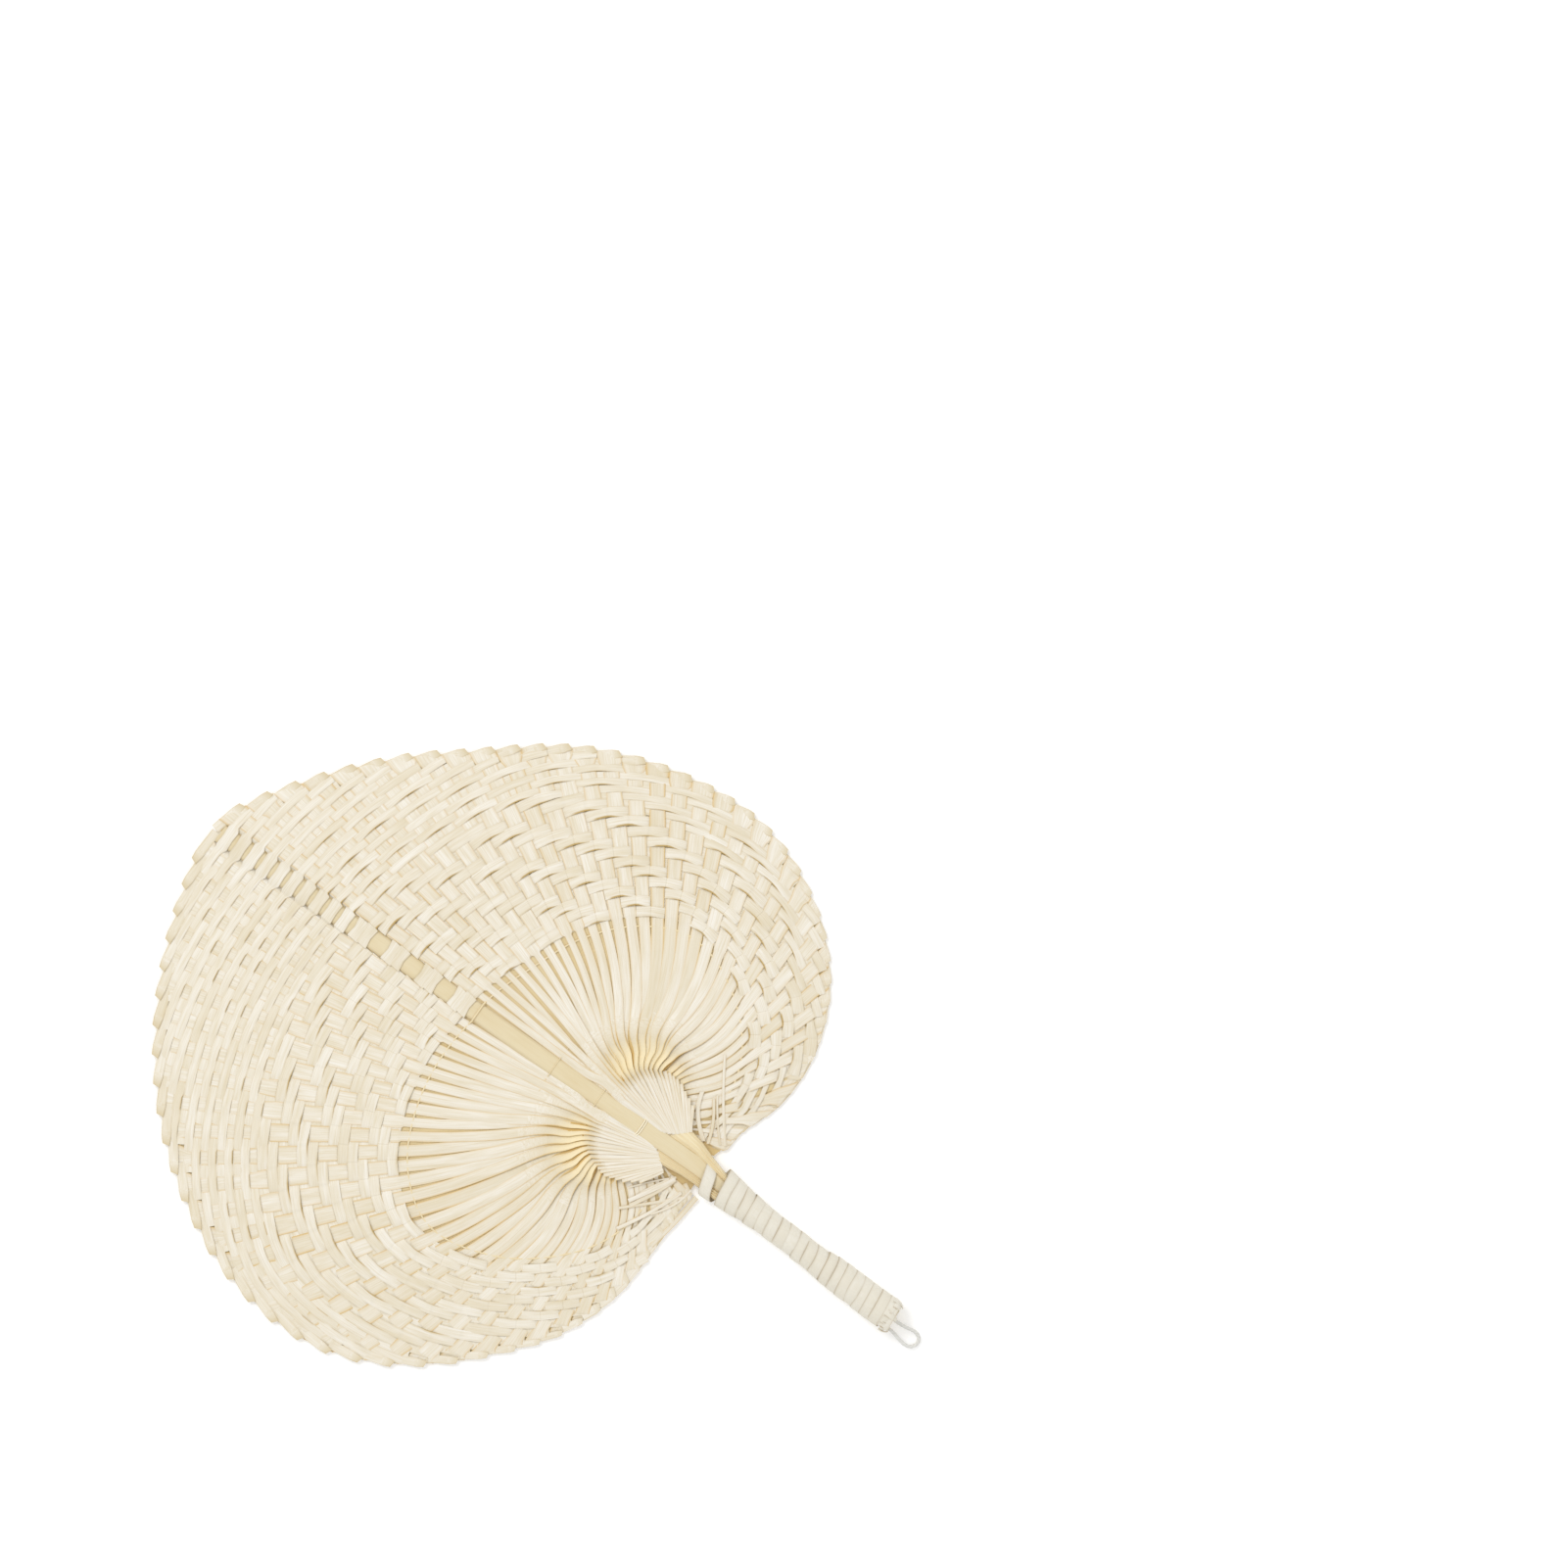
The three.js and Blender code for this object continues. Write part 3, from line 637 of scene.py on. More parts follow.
def strip_frames(half, index, settings, rng, sunk=0.0):
    """Frames of one leaf strip and their shares of the free length: folded below 0, free up to 1, then woven.

    Every second strip starts as a ridge of the folds. The one after it comes out from below. A sunk strip lies
    below the others by that depth.
    """
    heading = half.heading_of(index + 0.5)
    ahead = Vector((half.side * math.sin(heading), math.cos(heading), 0))
    astray = fade(heading, UNFOLDED_FROM, 32)
    ridged = index % 2 == 0 and not sunk and astray < 0.5
    pair = 2 * (int(index) // 2) + 1
    share = clamp(pair / half.strips)
    low = half.fold_point(FOLD_ROOTS, share, RIDGE_LOW)
    root = half.fold_point(FOLD_ENDS, share, (RIDGE_HIGH if ridged else 0.3) - sunk)
    ridge = levelled(root - low)
    if not ridged:
        hidden = Vector((half.side * HIDDEN_ROOT[0], HIDDEN_ROOT[1], HUB_HEIGHT - 0.9 - sunk))
        root = root.lerp(hidden, astray * lerp(0.3, 1.0, fade(heading, 95, 40)))

    # The free length is a curve that leaves along the ridge and arrives along the heading.
    start = half.weave_start_at(heading) - FLAT_MARGIN
    flat = half.point(heading, start, -sunk)
    span = (flat - root).length
    lean = lerp(0.15, 0.95, fade(heading, 25, 45))
    first = root + (ridge * (1 - lean) + ahead * lean).normalized() * min(span * 0.34, 17)
    second = flat - ahead * span * rng.uniform(0.42, 0.6)

    start_pitch = half.crossing_pitch(index, start)
    spare = lerp(*half.spare, fade(heading, 30, 25))
    flat_width = min(half.woven_width(start_pitch, 0), start_pitch) * rng.uniform(0.92 - spare, 1.08 - spare)
    root_width = lerp(*ROOT_WIDTHS, clamp(index / 6)) * rng.uniform(0.85, 1.1)
    if sunk:
        flat_width = start_pitch * BACKING_SPREAD
        root_width = BACKING_ROOT_WIDTH
    edge_on = lerp(*ROOT_TURNS, clamp(index / 7)) * rng.uniform(0.6, 1.25)
    sway = rng.uniform(-7, 8)
    drift = rng.uniform(-1, 1) * min(span * 0.025, 1.4)
    bow = PAIR_BOW + PAIR_BOW_CHANGE * math.sin(2.4 * pair)
    bow *= fade(heading, 14, 25) * (1 - fade(heading, 70, 34))
    frames = []
    shares = []
    length = rng.uniform(0, 4000)
    before = root

    def add(point, run, tilt, width, place):
        nonlocal length, before
        length += (point - before).length
        before = point
        frames.append(tilted_frame(half, point, run, tilt, width, length))
        shares.append(place)

    for number in range(RIDGE_STEPS if ridged else 0):
        t = number / RIDGE_STEPS
        width = lerp(RIDGE_ROOT_WIDTH, root_width * RIDGE_NARROWING, t)
        add(ridge_point(low, root, t, index), ridge, RIDGE_TILT, width, t - 1)
    for number in range(FREE_STEPS):
        t = number / FREE_STEPS
        s = 1 - t
        point = root * s ** 3 + first * 3 * t * s ** 2 + second * 3 * t * t * s + flat * t ** 3
        run = (first - root) * s ** 2 + (second - first) * 2 * t * s + (flat - second) * t * t
        point.x += drift * math.sin(math.pi * t)
        if index < 1:
            point.x += half.side * FIRST_BOW * bell(t, 0.14, 0.13)
        point += half.outward(run).normalized() * bow * (bell(t, 0.18, 0.09) - 0.5 * bell(t, 0.4, 0.13))
        tilt = math.radians(edge_on * (1 - ease(t / 0.5)) + (8 + sway) * s * ease(t / 0.4))
        add(point, run, tilt, lerp(root_width, flat_width, ease((t - 0.1) / 0.55)), t)
    woven = woven_frames(half, index, settings, start, flat_width, length, rng.uniform(0.5, 0.95), sunk)
    return frames + woven, shares + [1.0] * len(woven)


def woven_frames(half, index, settings, start, start_width, length, thin, sunk):
    """Frames of one strip from just inside the weave to the rim, over and under the wefts."""
    heading = half.heading_of(index + 0.5)
    rim = half.rim_at(heading)
    outward = Vector((half.side * math.cos(heading), -math.sin(heading), 0))
    brink = half.rim_run(heading)
    brink /= max(abs(brink.dot(outward)), 0.45)
    frames = []

    def add(distance, rise, width=None):
        pitch = half.crossing_pitch(index, distance)
        width = width or half.woven_width(pitch, half.fine_share(heading, distance))
        if not sunk:
            width *= lerp(1, thin, half.loose_share(heading, distance))
            width = lerp(width, max(width, pitch), ease((distance - rim + 10) / 5))
        slanted = outward.lerp(brink, ease((distance - rim + 9) / 7))
        centre = half.point(heading, distance, rise - sunk)
        frames.append((centre, slanted * width / 2, UP * 0.05, length + distance - start))

    for row in range(settings.rows):
        if not half.reaches(heading, row):
            break
        centre = half.row_distance(heading, row)
        pitch = half.row_pitch(heading, row)
        if row == 0:
            add(start, 0, start_width)
            add(centre - pitch * 0.62, 0, start_width)
        if sunk:
            add(centre, 0)
            continue
        rise = -half.passes(index + 1, row) * weave_level(settings, half.fine_share(heading, centre))
        for share in (-0.37, -0.22, 0.22, 0.37):
            add(centre + pitch * share, rise)
    add(rim - (2.6 if sunk else 1.6), 0.3 if sunk else 0.1)
    return frames


def root_tone(share, tone, gold):
    """Tone along a strip: white on the folds, golden where it leaves them, then its own. The gold is partly
    the leaf's own yellower colour there and partly a painted glow of light through the thin strips and warm
    shade between them.
    """
    if share < 0.1:
        return lerp(0.1, gold, ease((share + 0.1) / 0.16))
    return lerp(gold, tone, ease((share - 0.1) / 0.4))


def stray_strips(mesh, half, rng):
    """Thin loose strips that lie across the others beside the grip."""
    for number in range(half.strays):
        near = SPREAD - math.radians(rng.uniform(0, 9))
        far = math.radians(rng.uniform(98, 130))
        distance = rng.uniform(19, 36)
        start = half.point(near, distance)
        end = half.point(far, distance + rng.uniform(0, 15))
        width = rng.uniform(0.8, 2.3)
        bow = rng.uniform(-3.0, 3.5)
        outward = half.outward((end - start).normalized())
        frames = []
        for step in range(9):
            share = step / 8
            point = start.lerp(end, share)
            point.y -= bow * math.sin(math.pi * share)
            away = Vector((half.side * point.x - HUB_X, point.y - HUB_REACH))
            point = half.point(math.atan2(away.x, away.y), away.length, 0.5 + 0.06 * number)
            across = (outward + UP * rng.uniform(-0.15, 0.15)) * width / 2
            frames.append((point, across, UP * 0.15, share * (end - start).length + 60 * number))
        ribbon(mesh, frames, 3, rng.uniform(0, 0.6))


def side_ridges(mesh, half, rng):
    """Ridges of the folds beside the stalk, where the strips start below the folds."""
    steps = [number / RIDGE_STEPS for number in range(RIDGE_STEPS + 1)]
    for pair in range(FIRST_SIDE_RIDGE, half.strips, 2):
        low = half.fold_point(FOLD_ROOTS, pair / half.strips, RIDGE_LOW)
        high = half.fold_point(FOLD_ENDS, pair / half.strips, RIDGE_HIGH)
        width = 3.1 * rng.uniform(0.85, 1.1)
        frames = [tilted_frame(half, ridge_point(low, high, t, pair), high - low, RIDGE_TILT,
                               lerp(RIDGE_ROOT_WIDTH, width, t), 70 * pair + 25 * t) for t in steps]
        ribbon(mesh, frames, 4, [root_tone(t - 1, 0.3, 0.9) for t in steps])


def leaf_strips(half, settings):
    """Split strips of one half, with the loose ones beside the grip."""
    rng = random.Random(half.name + " strips")
    mesh = start_mesh()
    for index in filter(half.is_split, range(half.strips)):
        tone = rng.betavariate(1.4, 3.4)
        frames, shares = strip_frames(half, index, settings, rng)
        # Gold near the folds: partly the leaf's own colour, partly painted light shining through the strips.
        gold = lerp(0.4, rng.uniform(1.6, 2.0), clamp((index - 2) / 5)) * lerp(1, 0.4, clamp((index - 26) / 9))
        ribbon(mesh, frames, 4, [root_tone(share, tone, gold) for share in shares])
    stray_strips(mesh, half, rng)
    side_ridges(mesh, half, rng)
    # Strong golden edges paint warm shade in the gaps between the free strips.
    material = leaf_material(
        half.name + "_leaf_strip", settings.leaf_light, settings.leaf_tan, shade(218, 182, 108), 0.55,
        edge_share=1.1, high_tone_colour=shade(246, 229, 186))
    return finish_mesh(mesh, half.name + "_strips", "fan", material, STRIP_THICKNESS)


def backing_strips(half, settings):
    """Lower strips that show in the gaps of one half: the under layer of the folded strips, coloured darker
    than the leaf as painted shade in the gaps.
    """
    rng = random.Random(half.name + " backing")
    mesh = start_mesh()
    for index in range(-1, half.strips):
        frames, shares = strip_frames(half, index + 0.5, settings, rng, BACKING_DEPTH)
        tone = rng.betavariate(1.4, 3.4)
        # Near the folds and beside the grip the backing turns brown, which paints the shade in the deeper
        # gaps.
        shaded = 1.2 * ease((index - 0.72 * half.strips) / 6)
        tones = [max(lerp(2.0, tone, ease((share - 0.12) / 0.4)), shaded) for share in shares]
        ribbon(mesh, frames, 2, tones)
    material = leaf_material(
        half.name + "_backing", shade(231, 213, 170), shade(213, 188, 131), settings.leaf_edge, 0.6,
        edge_share=0.3, high_tone_colour=shade(216, 180, 110))
    finish_mesh(mesh, half.name + "_backing", "fan", material, BACKING_THICKNESS)


class FAN_OT_leaf_strips(bpy.types.Operator):
    """Split strips of both halves of the leaf."""

    bl_idname = "fan.leaf_strips"
    bl_label = "Leaf strips"

    def execute(self, context):
        for half in leaf_halves(context):
            piece = leaf_strips(half, context.scene.palm_fan)
            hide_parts(half.name + "_leaf")
            backing_strips(half, context.scene.palm_fan)
        return {"FINISHED"}


def folded_hub(half, settings):
    """Accordion folds of one half where its strips gather."""
    rng = random.Random(half.name + " folds")
    mesh = start_mesh()
    frames = []
    for step in range(FOLDS * STEPS_PER_FOLD + 1):
        share = step / (FOLDS * STEPS_PER_FOLD)
        if step % STEPS_PER_FOLD == 0:
            reach = rng.uniform(-2.0, -0.6)
        crest = abs(math.sin(math.pi * share * FOLDS)) ** 0.6
        low = half.fold_point(FOLD_ROOTS, share, crest * 0.35 + 0.4)
        high = half.fold_point(FOLD_ENDS, share, crest * 0.5 + 0.5)
        high += (high - low).normalized() * reach
        # The place across falls below -1 in the valleys between the folds, where the leaf material paints the
        # shade of the creases brown.
        frames.append(((low + high) / 2, (high - low) / 2, UP * 0.35, 2 * crest - 1.5))
    closed_bar(mesh, frames, 12, 0.1, rounded(4), turned=True)
    material = leaf_material(
        half.name + "_fold", settings.fold_white, shade(231, 222, 203), settings.leaf_tan, 0.6, fibres=2.0,
        edge_share=0.0)
    finish_mesh(mesh, half.name + "_folds", "fan", material, sharp=75.0)


class FAN_OT_folded_hubs(bpy.types.Operator):
    """Folded hubs of both halves."""

    bl_idname = "fan.folded_hubs"
    bl_label = "Folded hubs"

    def execute(self, context):
        for half in leaf_halves(context):
            folded_hub(half, context.scene.palm_fan)
        return {"FINISHED"}


# Widening of a weft over the splint, and its waist there, in the twill rows and in the fine rows
SPLINT_WIDENING = 1.28, 1.5
SPLINT_WAIST = 0.38, 0.44

# Lean, lift, bulge and slit of the loosest wefts, the slit being shade painted brown at the inner edge
TWILL_SLACK = 0.32, 0.36, 0.7, 1.7
FINE_SLACK = 0.2, 0.0, 0.7, 2.0


def weft_slack(half, row, place, inset, fine):
    """Lean, lift, bulge and slit of a weft that lies over a strip. The slit is shade painted brown at its
    inner edge. Some passes are looser than others.
    """
    if fine < 0.5 or half.side > 0:
        stepped = place + half.row_shift(row)
        chance = random.Random(f"{row} {stepped // 4} {half.side}")
        loose = chance.uniform(0.1, 1.0) * half.slack * lerp(1, 0.8, fine)
        arch = math.sin(math.pi * clamp((stepped % 4 + inset) / 2))
        lean, lift, bulge, slit = TWILL_SLACK
        pull = loose * arch
        return lean * pull, lift * pull, bulge * pull, slit * max(loose - 0.12, 0) * arch ** 3

    # In the fine rows of the left half each strip is crossed on its own.
    chance = random.Random(f"{row} {place} {half.side}")
    loose = chance.uniform(0.0, 1.0) ** 1.6
    arch = math.sin(math.pi * clamp(inset))
    lean, lift, bulge, slit = FINE_SLACK
    return lean * loose * arch, lift, bulge * loose * arch ** 3, slit * max(loose - 0.1, 0) * arch ** 4


def weft_frames(row, halves, settings, rng):
    """Frames of one weft from its right end to its left end, and the painted shade of the slits beside it."""
    left, right = halves
    fine_row = row >= settings.twill_rows
    length = rng.uniform(0, 4000)
    thin = rng.uniform(0.35, 0.85)
    frames = []
    slits = []

    def add(half, heading, rise, place=0, inset=0.5, over=False, fine=1.0):
        lean, lift, bulge, slit = weft_slack(half, row, place, inset, fine) if over else (0.0, 0.0, 0.0, 0.0)
        distance = half.row_distance(heading, row) + bulge
        nudged = heading + 0.01
        ahead = half.point(nudged, half.row_distance(nudged, row) + bulge)
        point = half.point(heading, distance, rise + lift)
        tight = lerp(1.04, 0.93, fade(heading, 60, 40)) * lerp(1, thin, half.loose_share(heading, distance))
        width = half.row_pitch(heading, row) * tight
        if not place:
            width *= SPLINT_WIDENING[fine_row]
        across = half.outward(levelled(ahead - point)) * -width / 2
        frames.append((point, across - UP * (0.05 + lean), UP * 0.06))
        slits.append(slit * ease((half.rim_at(heading) - distance - 5) / 7))

    def crossed(half):
        """Strips from the splint on that the row crosses before it meets the rim."""
        met = (index for index in range(half.strips) if not half.reaches(half.heading_of(index + 1), row))
        return range(next(met, half.strips))

    def cross(half, index, order):
        """Frames over or under one strip, and in the gap beyond it."""
        heading = half.heading_of(index + 0.5)
        distance = half.row_distance(heading, row)
        pitch = half.crossing_pitch(index, distance)
        fine = half.fine_share(heading, distance)
        rise, beyond = (half.passes(index + step, row) * weave_level(settings, fine) for step in (1, 2))
        share = clamp(half.woven_width(pitch, fine) / pitch / 2, 0.1, 0.46)
        between = (rise + beyond) / 2 * (1 - fine)
        edge, top = share * 1.08, share * 0.7
        half_up = rise * 0.25 + between * 0.5
        insets = [(0.5 - edge, half_up), (0.5 - top, rise), (0.5 + top, rise), (0.5 + edge, half_up),
                  (0.999, between)]
        for inset, lifted in insets[::order]:
            add(half, half.heading_of(index + inset), lifted, index + 1, inset, rise > 0, fine)

    for index in filter(right.is_split, reversed(crossed(right))):
        cross(right, index, -1)
    foot = HUB_REACH + right.row_distance(0.0, row)
    rise = right.passes(0, row) * (splint_half_height(min(foot, SPLINT_END_Y)) + 0.3)
    add(right, 0.0, rise)
    add(left, 0.0, rise)
    (before, wide, crown), (after, wide_after, _) = frames[-2:]
    frames.insert(-1, ((before + after) / 2, (wide + wide_after) * SPLINT_WAIST[fine_row], crown))
    slits.insert(-1, 0.0)
    for index in filter(left.is_split, crossed(left)):
        cross(left, index, 1)
    return measured(frames, length), slits


class FAN_OT_wefts(bpy.types.Operator):
    """Wefts that interlace the strips and the splint."""

    bl_idname = "fan.wefts"
    bl_label = "Wefts"

    def execute(self, context):
        settings = context.scene.palm_fan
        material = leaf_material(
            "weft_strip", settings.leaf_light, settings.leaf_tan, settings.leaf_edge, 0.52, edge_share=0.4)
        for row in range(settings.rows):
            rng = random.Random(f"weft {row}")
            mesh = start_mesh()
            frames, slits = weft_frames(row, leaf_halves(context), settings, rng)
            ribbon(mesh, frames, 4, rng.betavariate(1.4, 3.5), slits=slits)
            name = f"woven_weft_{row + 1:02d}"
            finish_mesh(mesh, name, "fan", material, STRIP_THICKNESS)
        for node in sorted(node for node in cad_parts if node.startswith("weft_")):
            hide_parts(node)
        return {"FINISHED"}


# The stick ends inside the binding, this far below its surface.
STICK_INSET = 1.35
STICK_STATIONS = (-112, -100, -86, -72, -58, -46, -36)
SPLINT_STATIONS = [-38, -22, -12, -6, 0] + [lerp(SPLINT_FOOT_Y, SPLINT_END_Y, step / 24) for step in range(25)]

# Places along the stalks, each with the stalk's width and half height
STALK_STATIONS = [(-33, 2.6, 3.2), (-12, 3.4, 3.8), (-6, 4.0, 3.2), (2, 5.0, 2.4), (10, 6.6, 2.0),
                  (17, 8.2, 1.7), (22, 8.8, 1.4), (26, 8.2, 0.9)]
STALK_OVERLAP = 0.8
STALK_SINK = 0.2


def bar_frame(y, half_width, half_height, beside=0.0, sink=0.0):
    """Frame across a bar that runs along the grip's line or beside it."""
    centre = Vector((grip_centre(y) + beside, y, axis_height(y) - sink))
    return centre, Vector((half_width, 0, 0)), UP * half_height, y


class FAN_OT_splint(bpy.types.Operator):
    """Bamboo splint up the middle of the leaf, and its stick inside the grip."""

    bl_idname = "fan.splint"
    bl_label = "Splint"

    def execute(self, context):
        settings = context.scene.palm_fan
        mesh = start_mesh()
        stick = [bar_frame(y, grip_half_width(y) - STICK_INSET, grip_half_height(y) - STICK_INSET)
                 for y in STICK_STATIONS]
        closed_bar(mesh, stick, 24, 0.2, rounded(2))
        splint = [bar_frame(y, splint_half_width(y), splint_half_height(y)) for y in SPLINT_STATIONS]
        closed_bar(mesh, splint, 12, 0.2, rounded(5))
        material = leaf_material(
            "bamboo_splint", settings.bamboo, shade(219, 199, 154), shade(196, 166, 114), 0.42, fibres=16.0,
            streak_share=0.5, edge_share=0.7)
        piece = finish_mesh(mesh, "splint", "fan", material, sharp=50.0)
        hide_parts("spine_splint")
        return {"FINISHED"}


def stalk_ribs(a):
    """Profile across a stalk, from -1 to 1."""
    return rounded(2.4)(a) * (0.84 + 0.26 * abs(math.cos(a * 6.6)))


class FAN_OT_stalks(bpy.types.Operator):
    """Ribbed yellow stalks between the folded hubs and the binding."""

    bl_idname = "fan.stalks"
    bl_label = "Stalks"

    def execute(self, context):
        settings = context.scene.palm_fan
        material = leaf_material(
            "leaf_stalk", settings.stalk_yellow, shade(222, 200, 154), shade(196, 164, 112), 0.45, fibres=7.0,
            streak_share=0.9, edge_share=0.6, bump=0.6)
        for half in leaf_halves(context):
            mesh = start_mesh()
            frames = []
            for y, width, height in STALK_STATIONS:
                width *= lerp(*half.stalk_widths, clamp((y - GRIP_TOP_Y) / 18))
                beside = half.side * (splint_half_width(y) - STALK_OVERLAP + width / 2)
                frames.append(bar_frame(y, width / 2, height, beside, STALK_SINK))
            closed_bar(mesh, frames, 30, half.stalk_tone, stalk_ribs)
            finish_mesh(mesh, half.name + "_stalk", "fan", material, sharp=60.0)
        return {"FINISHED"}


# Windings lie in this depth of the grip's surface and stay above the table.
WINDING_DEPTH = 1.2
WINDING_LOWEST = 0.75
STEPS_PER_TURN = 44
STEPS_PER_WANDER = 11

# Each winding's width, turns, upper end, pitches of its first turn and of the others, lift and tone
GRIP_WINDING = 6.3, 12.15, 0.5, (12.1, 5.45), 0.0, 0.2
BUTT_WINDING = 6.0, 7.4, -72.4, (5.0, 5.0), 0.3, 0.25
GRIP_STRIP_THICKNESS, BUTT_STRIP_THICKNESS = 0.28, 0.32

# The first turn goes round the splint and the left stalk only, up to this part of it.
TIE_TURN = 0.88

# Frayed ends within this angle of the loop's legs, in degrees, stop short of the butt.
FRAYED_ENDS = 9
LOOP_CLEARANCE = 27.0


def grip_point(y, angle, out):
    """Point of the grip's surface round its axis, raised by a distance in millimetres."""
    x = grip_centre(y) + (grip_half_width(y) - WINDING_DEPTH + out) * math.cos(angle)
    z = axis_height(y) + (grip_half_height(y) - WINDING_DEPTH + out) * math.sin(angle)
    return Vector((x, y, max(z, WINDING_LOWEST)))


def tie_point(y, angle, out):
    """Point of the first turn of the binding."""
    left = grip_centre(y) - grip_half_width(y) + 1.0 - out
    right = grip_centre(y) + splint_half_width(y) + 0.2 + out
    x = lerp(left, right, 0.5 + 0.5 * math.cos(angle))
    z = axis_height(y) + (min(grip_half_height(y), 5.2) - WINDING_DEPTH + out) * math.sin(angle)
    return Vector((x, y, max(z, WINDING_LOWEST)))


def round_grip(angle):
    """Direction away from the grip's axis."""
    return Vector((math.cos(angle), 0, math.sin(angle)))


def wound_strip(name, width, turns, top, pitches, lift, tone, tied=False):
    """Flat strip wound round the grip, each turn's upper edge over the turn before."""
    rng = random.Random(name)
    mesh = start_mesh()
    frames = []
    tones = []
    steps = round(turns * STEPS_PER_TURN)
    shades = [rng.uniform(-0.1, 0.45) for _ in range(int(turns) + 3)]
    wander = [rng.uniform(-0.5, 0.5) for _ in range(steps // STEPS_PER_WANDER + 3)]
    for step in range(steps + 1):
        turn = step / STEPS_PER_TURN
        angle = turn * 2 * math.pi
        knot, part = divmod(step, STEPS_PER_WANDER)
        part = ease(part / STEPS_PER_WANDER)
        y = top - pitches[0] * clamp(turn) - pitches[1] * max(turn - 1, 0)
        y += lerp(wander[knot], wander[knot + 1], part)
        bump = 0.5 * lerp(wander[-1 - knot], wander[-2 - knot], part)
        upper = grip_point(y + width / 2, angle, 0.52 + lift + bump)
        lower = grip_point(y - width / 2, angle, 0.28 + lift + bump)
        if tied:
            share = ease((turn - TIE_TURN) / (1 - TIE_TURN))
            upper = tie_point(y + width / 2, angle, 0.4).lerp(upper, share)
            lower = tie_point(y - width / 2, angle, 0.4).lerp(lower, share)
        frames.append(((upper + lower) / 2, (upper - lower) / 2, round_grip(angle) * 0.22))
        turn_tone = lerp(shades[int(turn)], shades[int(turn) + 1], ease(turn % 1 * 2 - 1))
        tones.append(tone + 1.5 * abs(bump) + turn_tone)
    ribbon(mesh, measured(frames), 6, tones)
    return mesh


def frayed_ends(mesh):
    """Torn ends of the strip that stand out at the butt."""
    rng = random.Random("frayed")
    for number in range(FRAYED_ENDS):
        angle = math.radians(8 + 20 * number + rng.uniform(-6, 6))
        width = rng.uniform(2.2, 4.6)
        start = -GRIP_LENGTH + rng.uniform(3.0, 5.0)
        long = rng.uniform(2.8, 5.8)
        if abs(abs(math.degrees(angle) - 90) - 45) < LOOP_CLEARANCE:
            long = min(long, start + GRIP_LENGTH - 0.2)
        sideways = rng.uniform(-0.2, 0.2)
        tone = rng.uniform(0, 0.7)
        frames = []
        for step in range(7):
            share = step / 6
            point = grip_point(start - long * share, angle, 1.0 + 0.1 * (number % 3) - 1.9 * share ** 3)
            point.x += sideways * long * share
            across = round_grip(angle + math.pi / 2) * width / 2 * lerp(1, 0.45, share ** 3)
            frames.append((point, across, round_grip(angle) * 0.12, long * share + number * 50))
        ribbon(mesh, frames, 3, tone)


class FAN_OT_bindings(bpy.types.Operator):
    """Flat strips wound round the grip and its butt."""

    bl_idname = "fan.bindings"
    bl_label = "Bindings"

    def execute(self, context):
        settings = context.scene.palm_fan
        # The dark edge colour paints the shadow lines between the overlapping turns.
        material = leaf_material(
            "binding_strip", settings.binding, shade(224, 216, 196), shade(168, 148, 112), 0.62, fibres=6.0,
            streak_share=0.5, edge_share=0.8, bump=0.5)
        grip = wound_strip("grip_wound", *GRIP_WINDING, tied=True)
        piece = finish_mesh(grip, "grip_winding", "fan", material, GRIP_STRIP_THICKNESS)
        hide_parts("grip_binding")
        butt = wound_strip("butt_wound", *BUTT_WINDING)
        frayed_ends(butt)
        piece = finish_mesh(butt, "butt_winding", "fan", material, BUTT_STRIP_THICKNESS)
        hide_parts("butt_binding")
        return {"FINISHED"}


# Spacing threads: distance from the hub, or from the weave where it is negative, share of the strips that are
# crossed, levels between strips and on them, and width
THREADS = [(-4.6, 0.8, (0.1, -0.5), 0.9), (56.0, 0.08, (0.6, 0.1), 0.45), (30.0, 0.06, (1.2, 0.9), 0.45)]
STITCH_YS = (37.3, 38.3)
STITCH_GAP = 0.35
STITCH_HEIGHT = 1.75


def thread_frames(halves, offset, reach, levels, width):
    """Frames of a thread from the right half over the splint to the left half."""
    left, right = halves
    points = []
    for half, order in ((right, -1), (left, 1)):
        for place in range(int(reach * half.strips) * 2 + 1)[::order]:
            heading = half.heading_of(place / 2)
            distance = offset if offset > 0 else half.weave_start_at(heading) + offset
            over = levels[place % 2]
            if place == 0:
                over = max(over, splint_half_height(HUB_REACH + distance) + width / 2)
            points.append(half.point(heading, distance, over))
    frames = []
    for before, point, after in zip(points[:1] + points, points, points[1:] + points[-1:]):
        run = levelled(after - before)
        frames.append((point, Vector((-run.y, run.x, 0)) * width / 2, UP * (width / 2)))
    return measured(frames)


def stitch_frames(y):
    """Frames of one turn of thread round the splint."""
    frames = []
    for step in range(25):
        angle = 2 * math.pi * step / 24
        across, up = (math.copysign(abs(turn) ** 0.4, turn) for turn in (math.cos(angle), math.sin(angle)))
        x = (splint_half_width(y) + STITCH_GAP) * across
        point = Vector((x, y + 0.3 * math.sin(angle * 3), axis_height(y) + STITCH_HEIGHT * up))
        outward = Vector((point.x, 0, (point.z - axis_height(y)) * 2)).normalized()
        frames.append((point, Vector((0, 0.32, 0)), outward * 0.3, step * 1.1))
    return frames


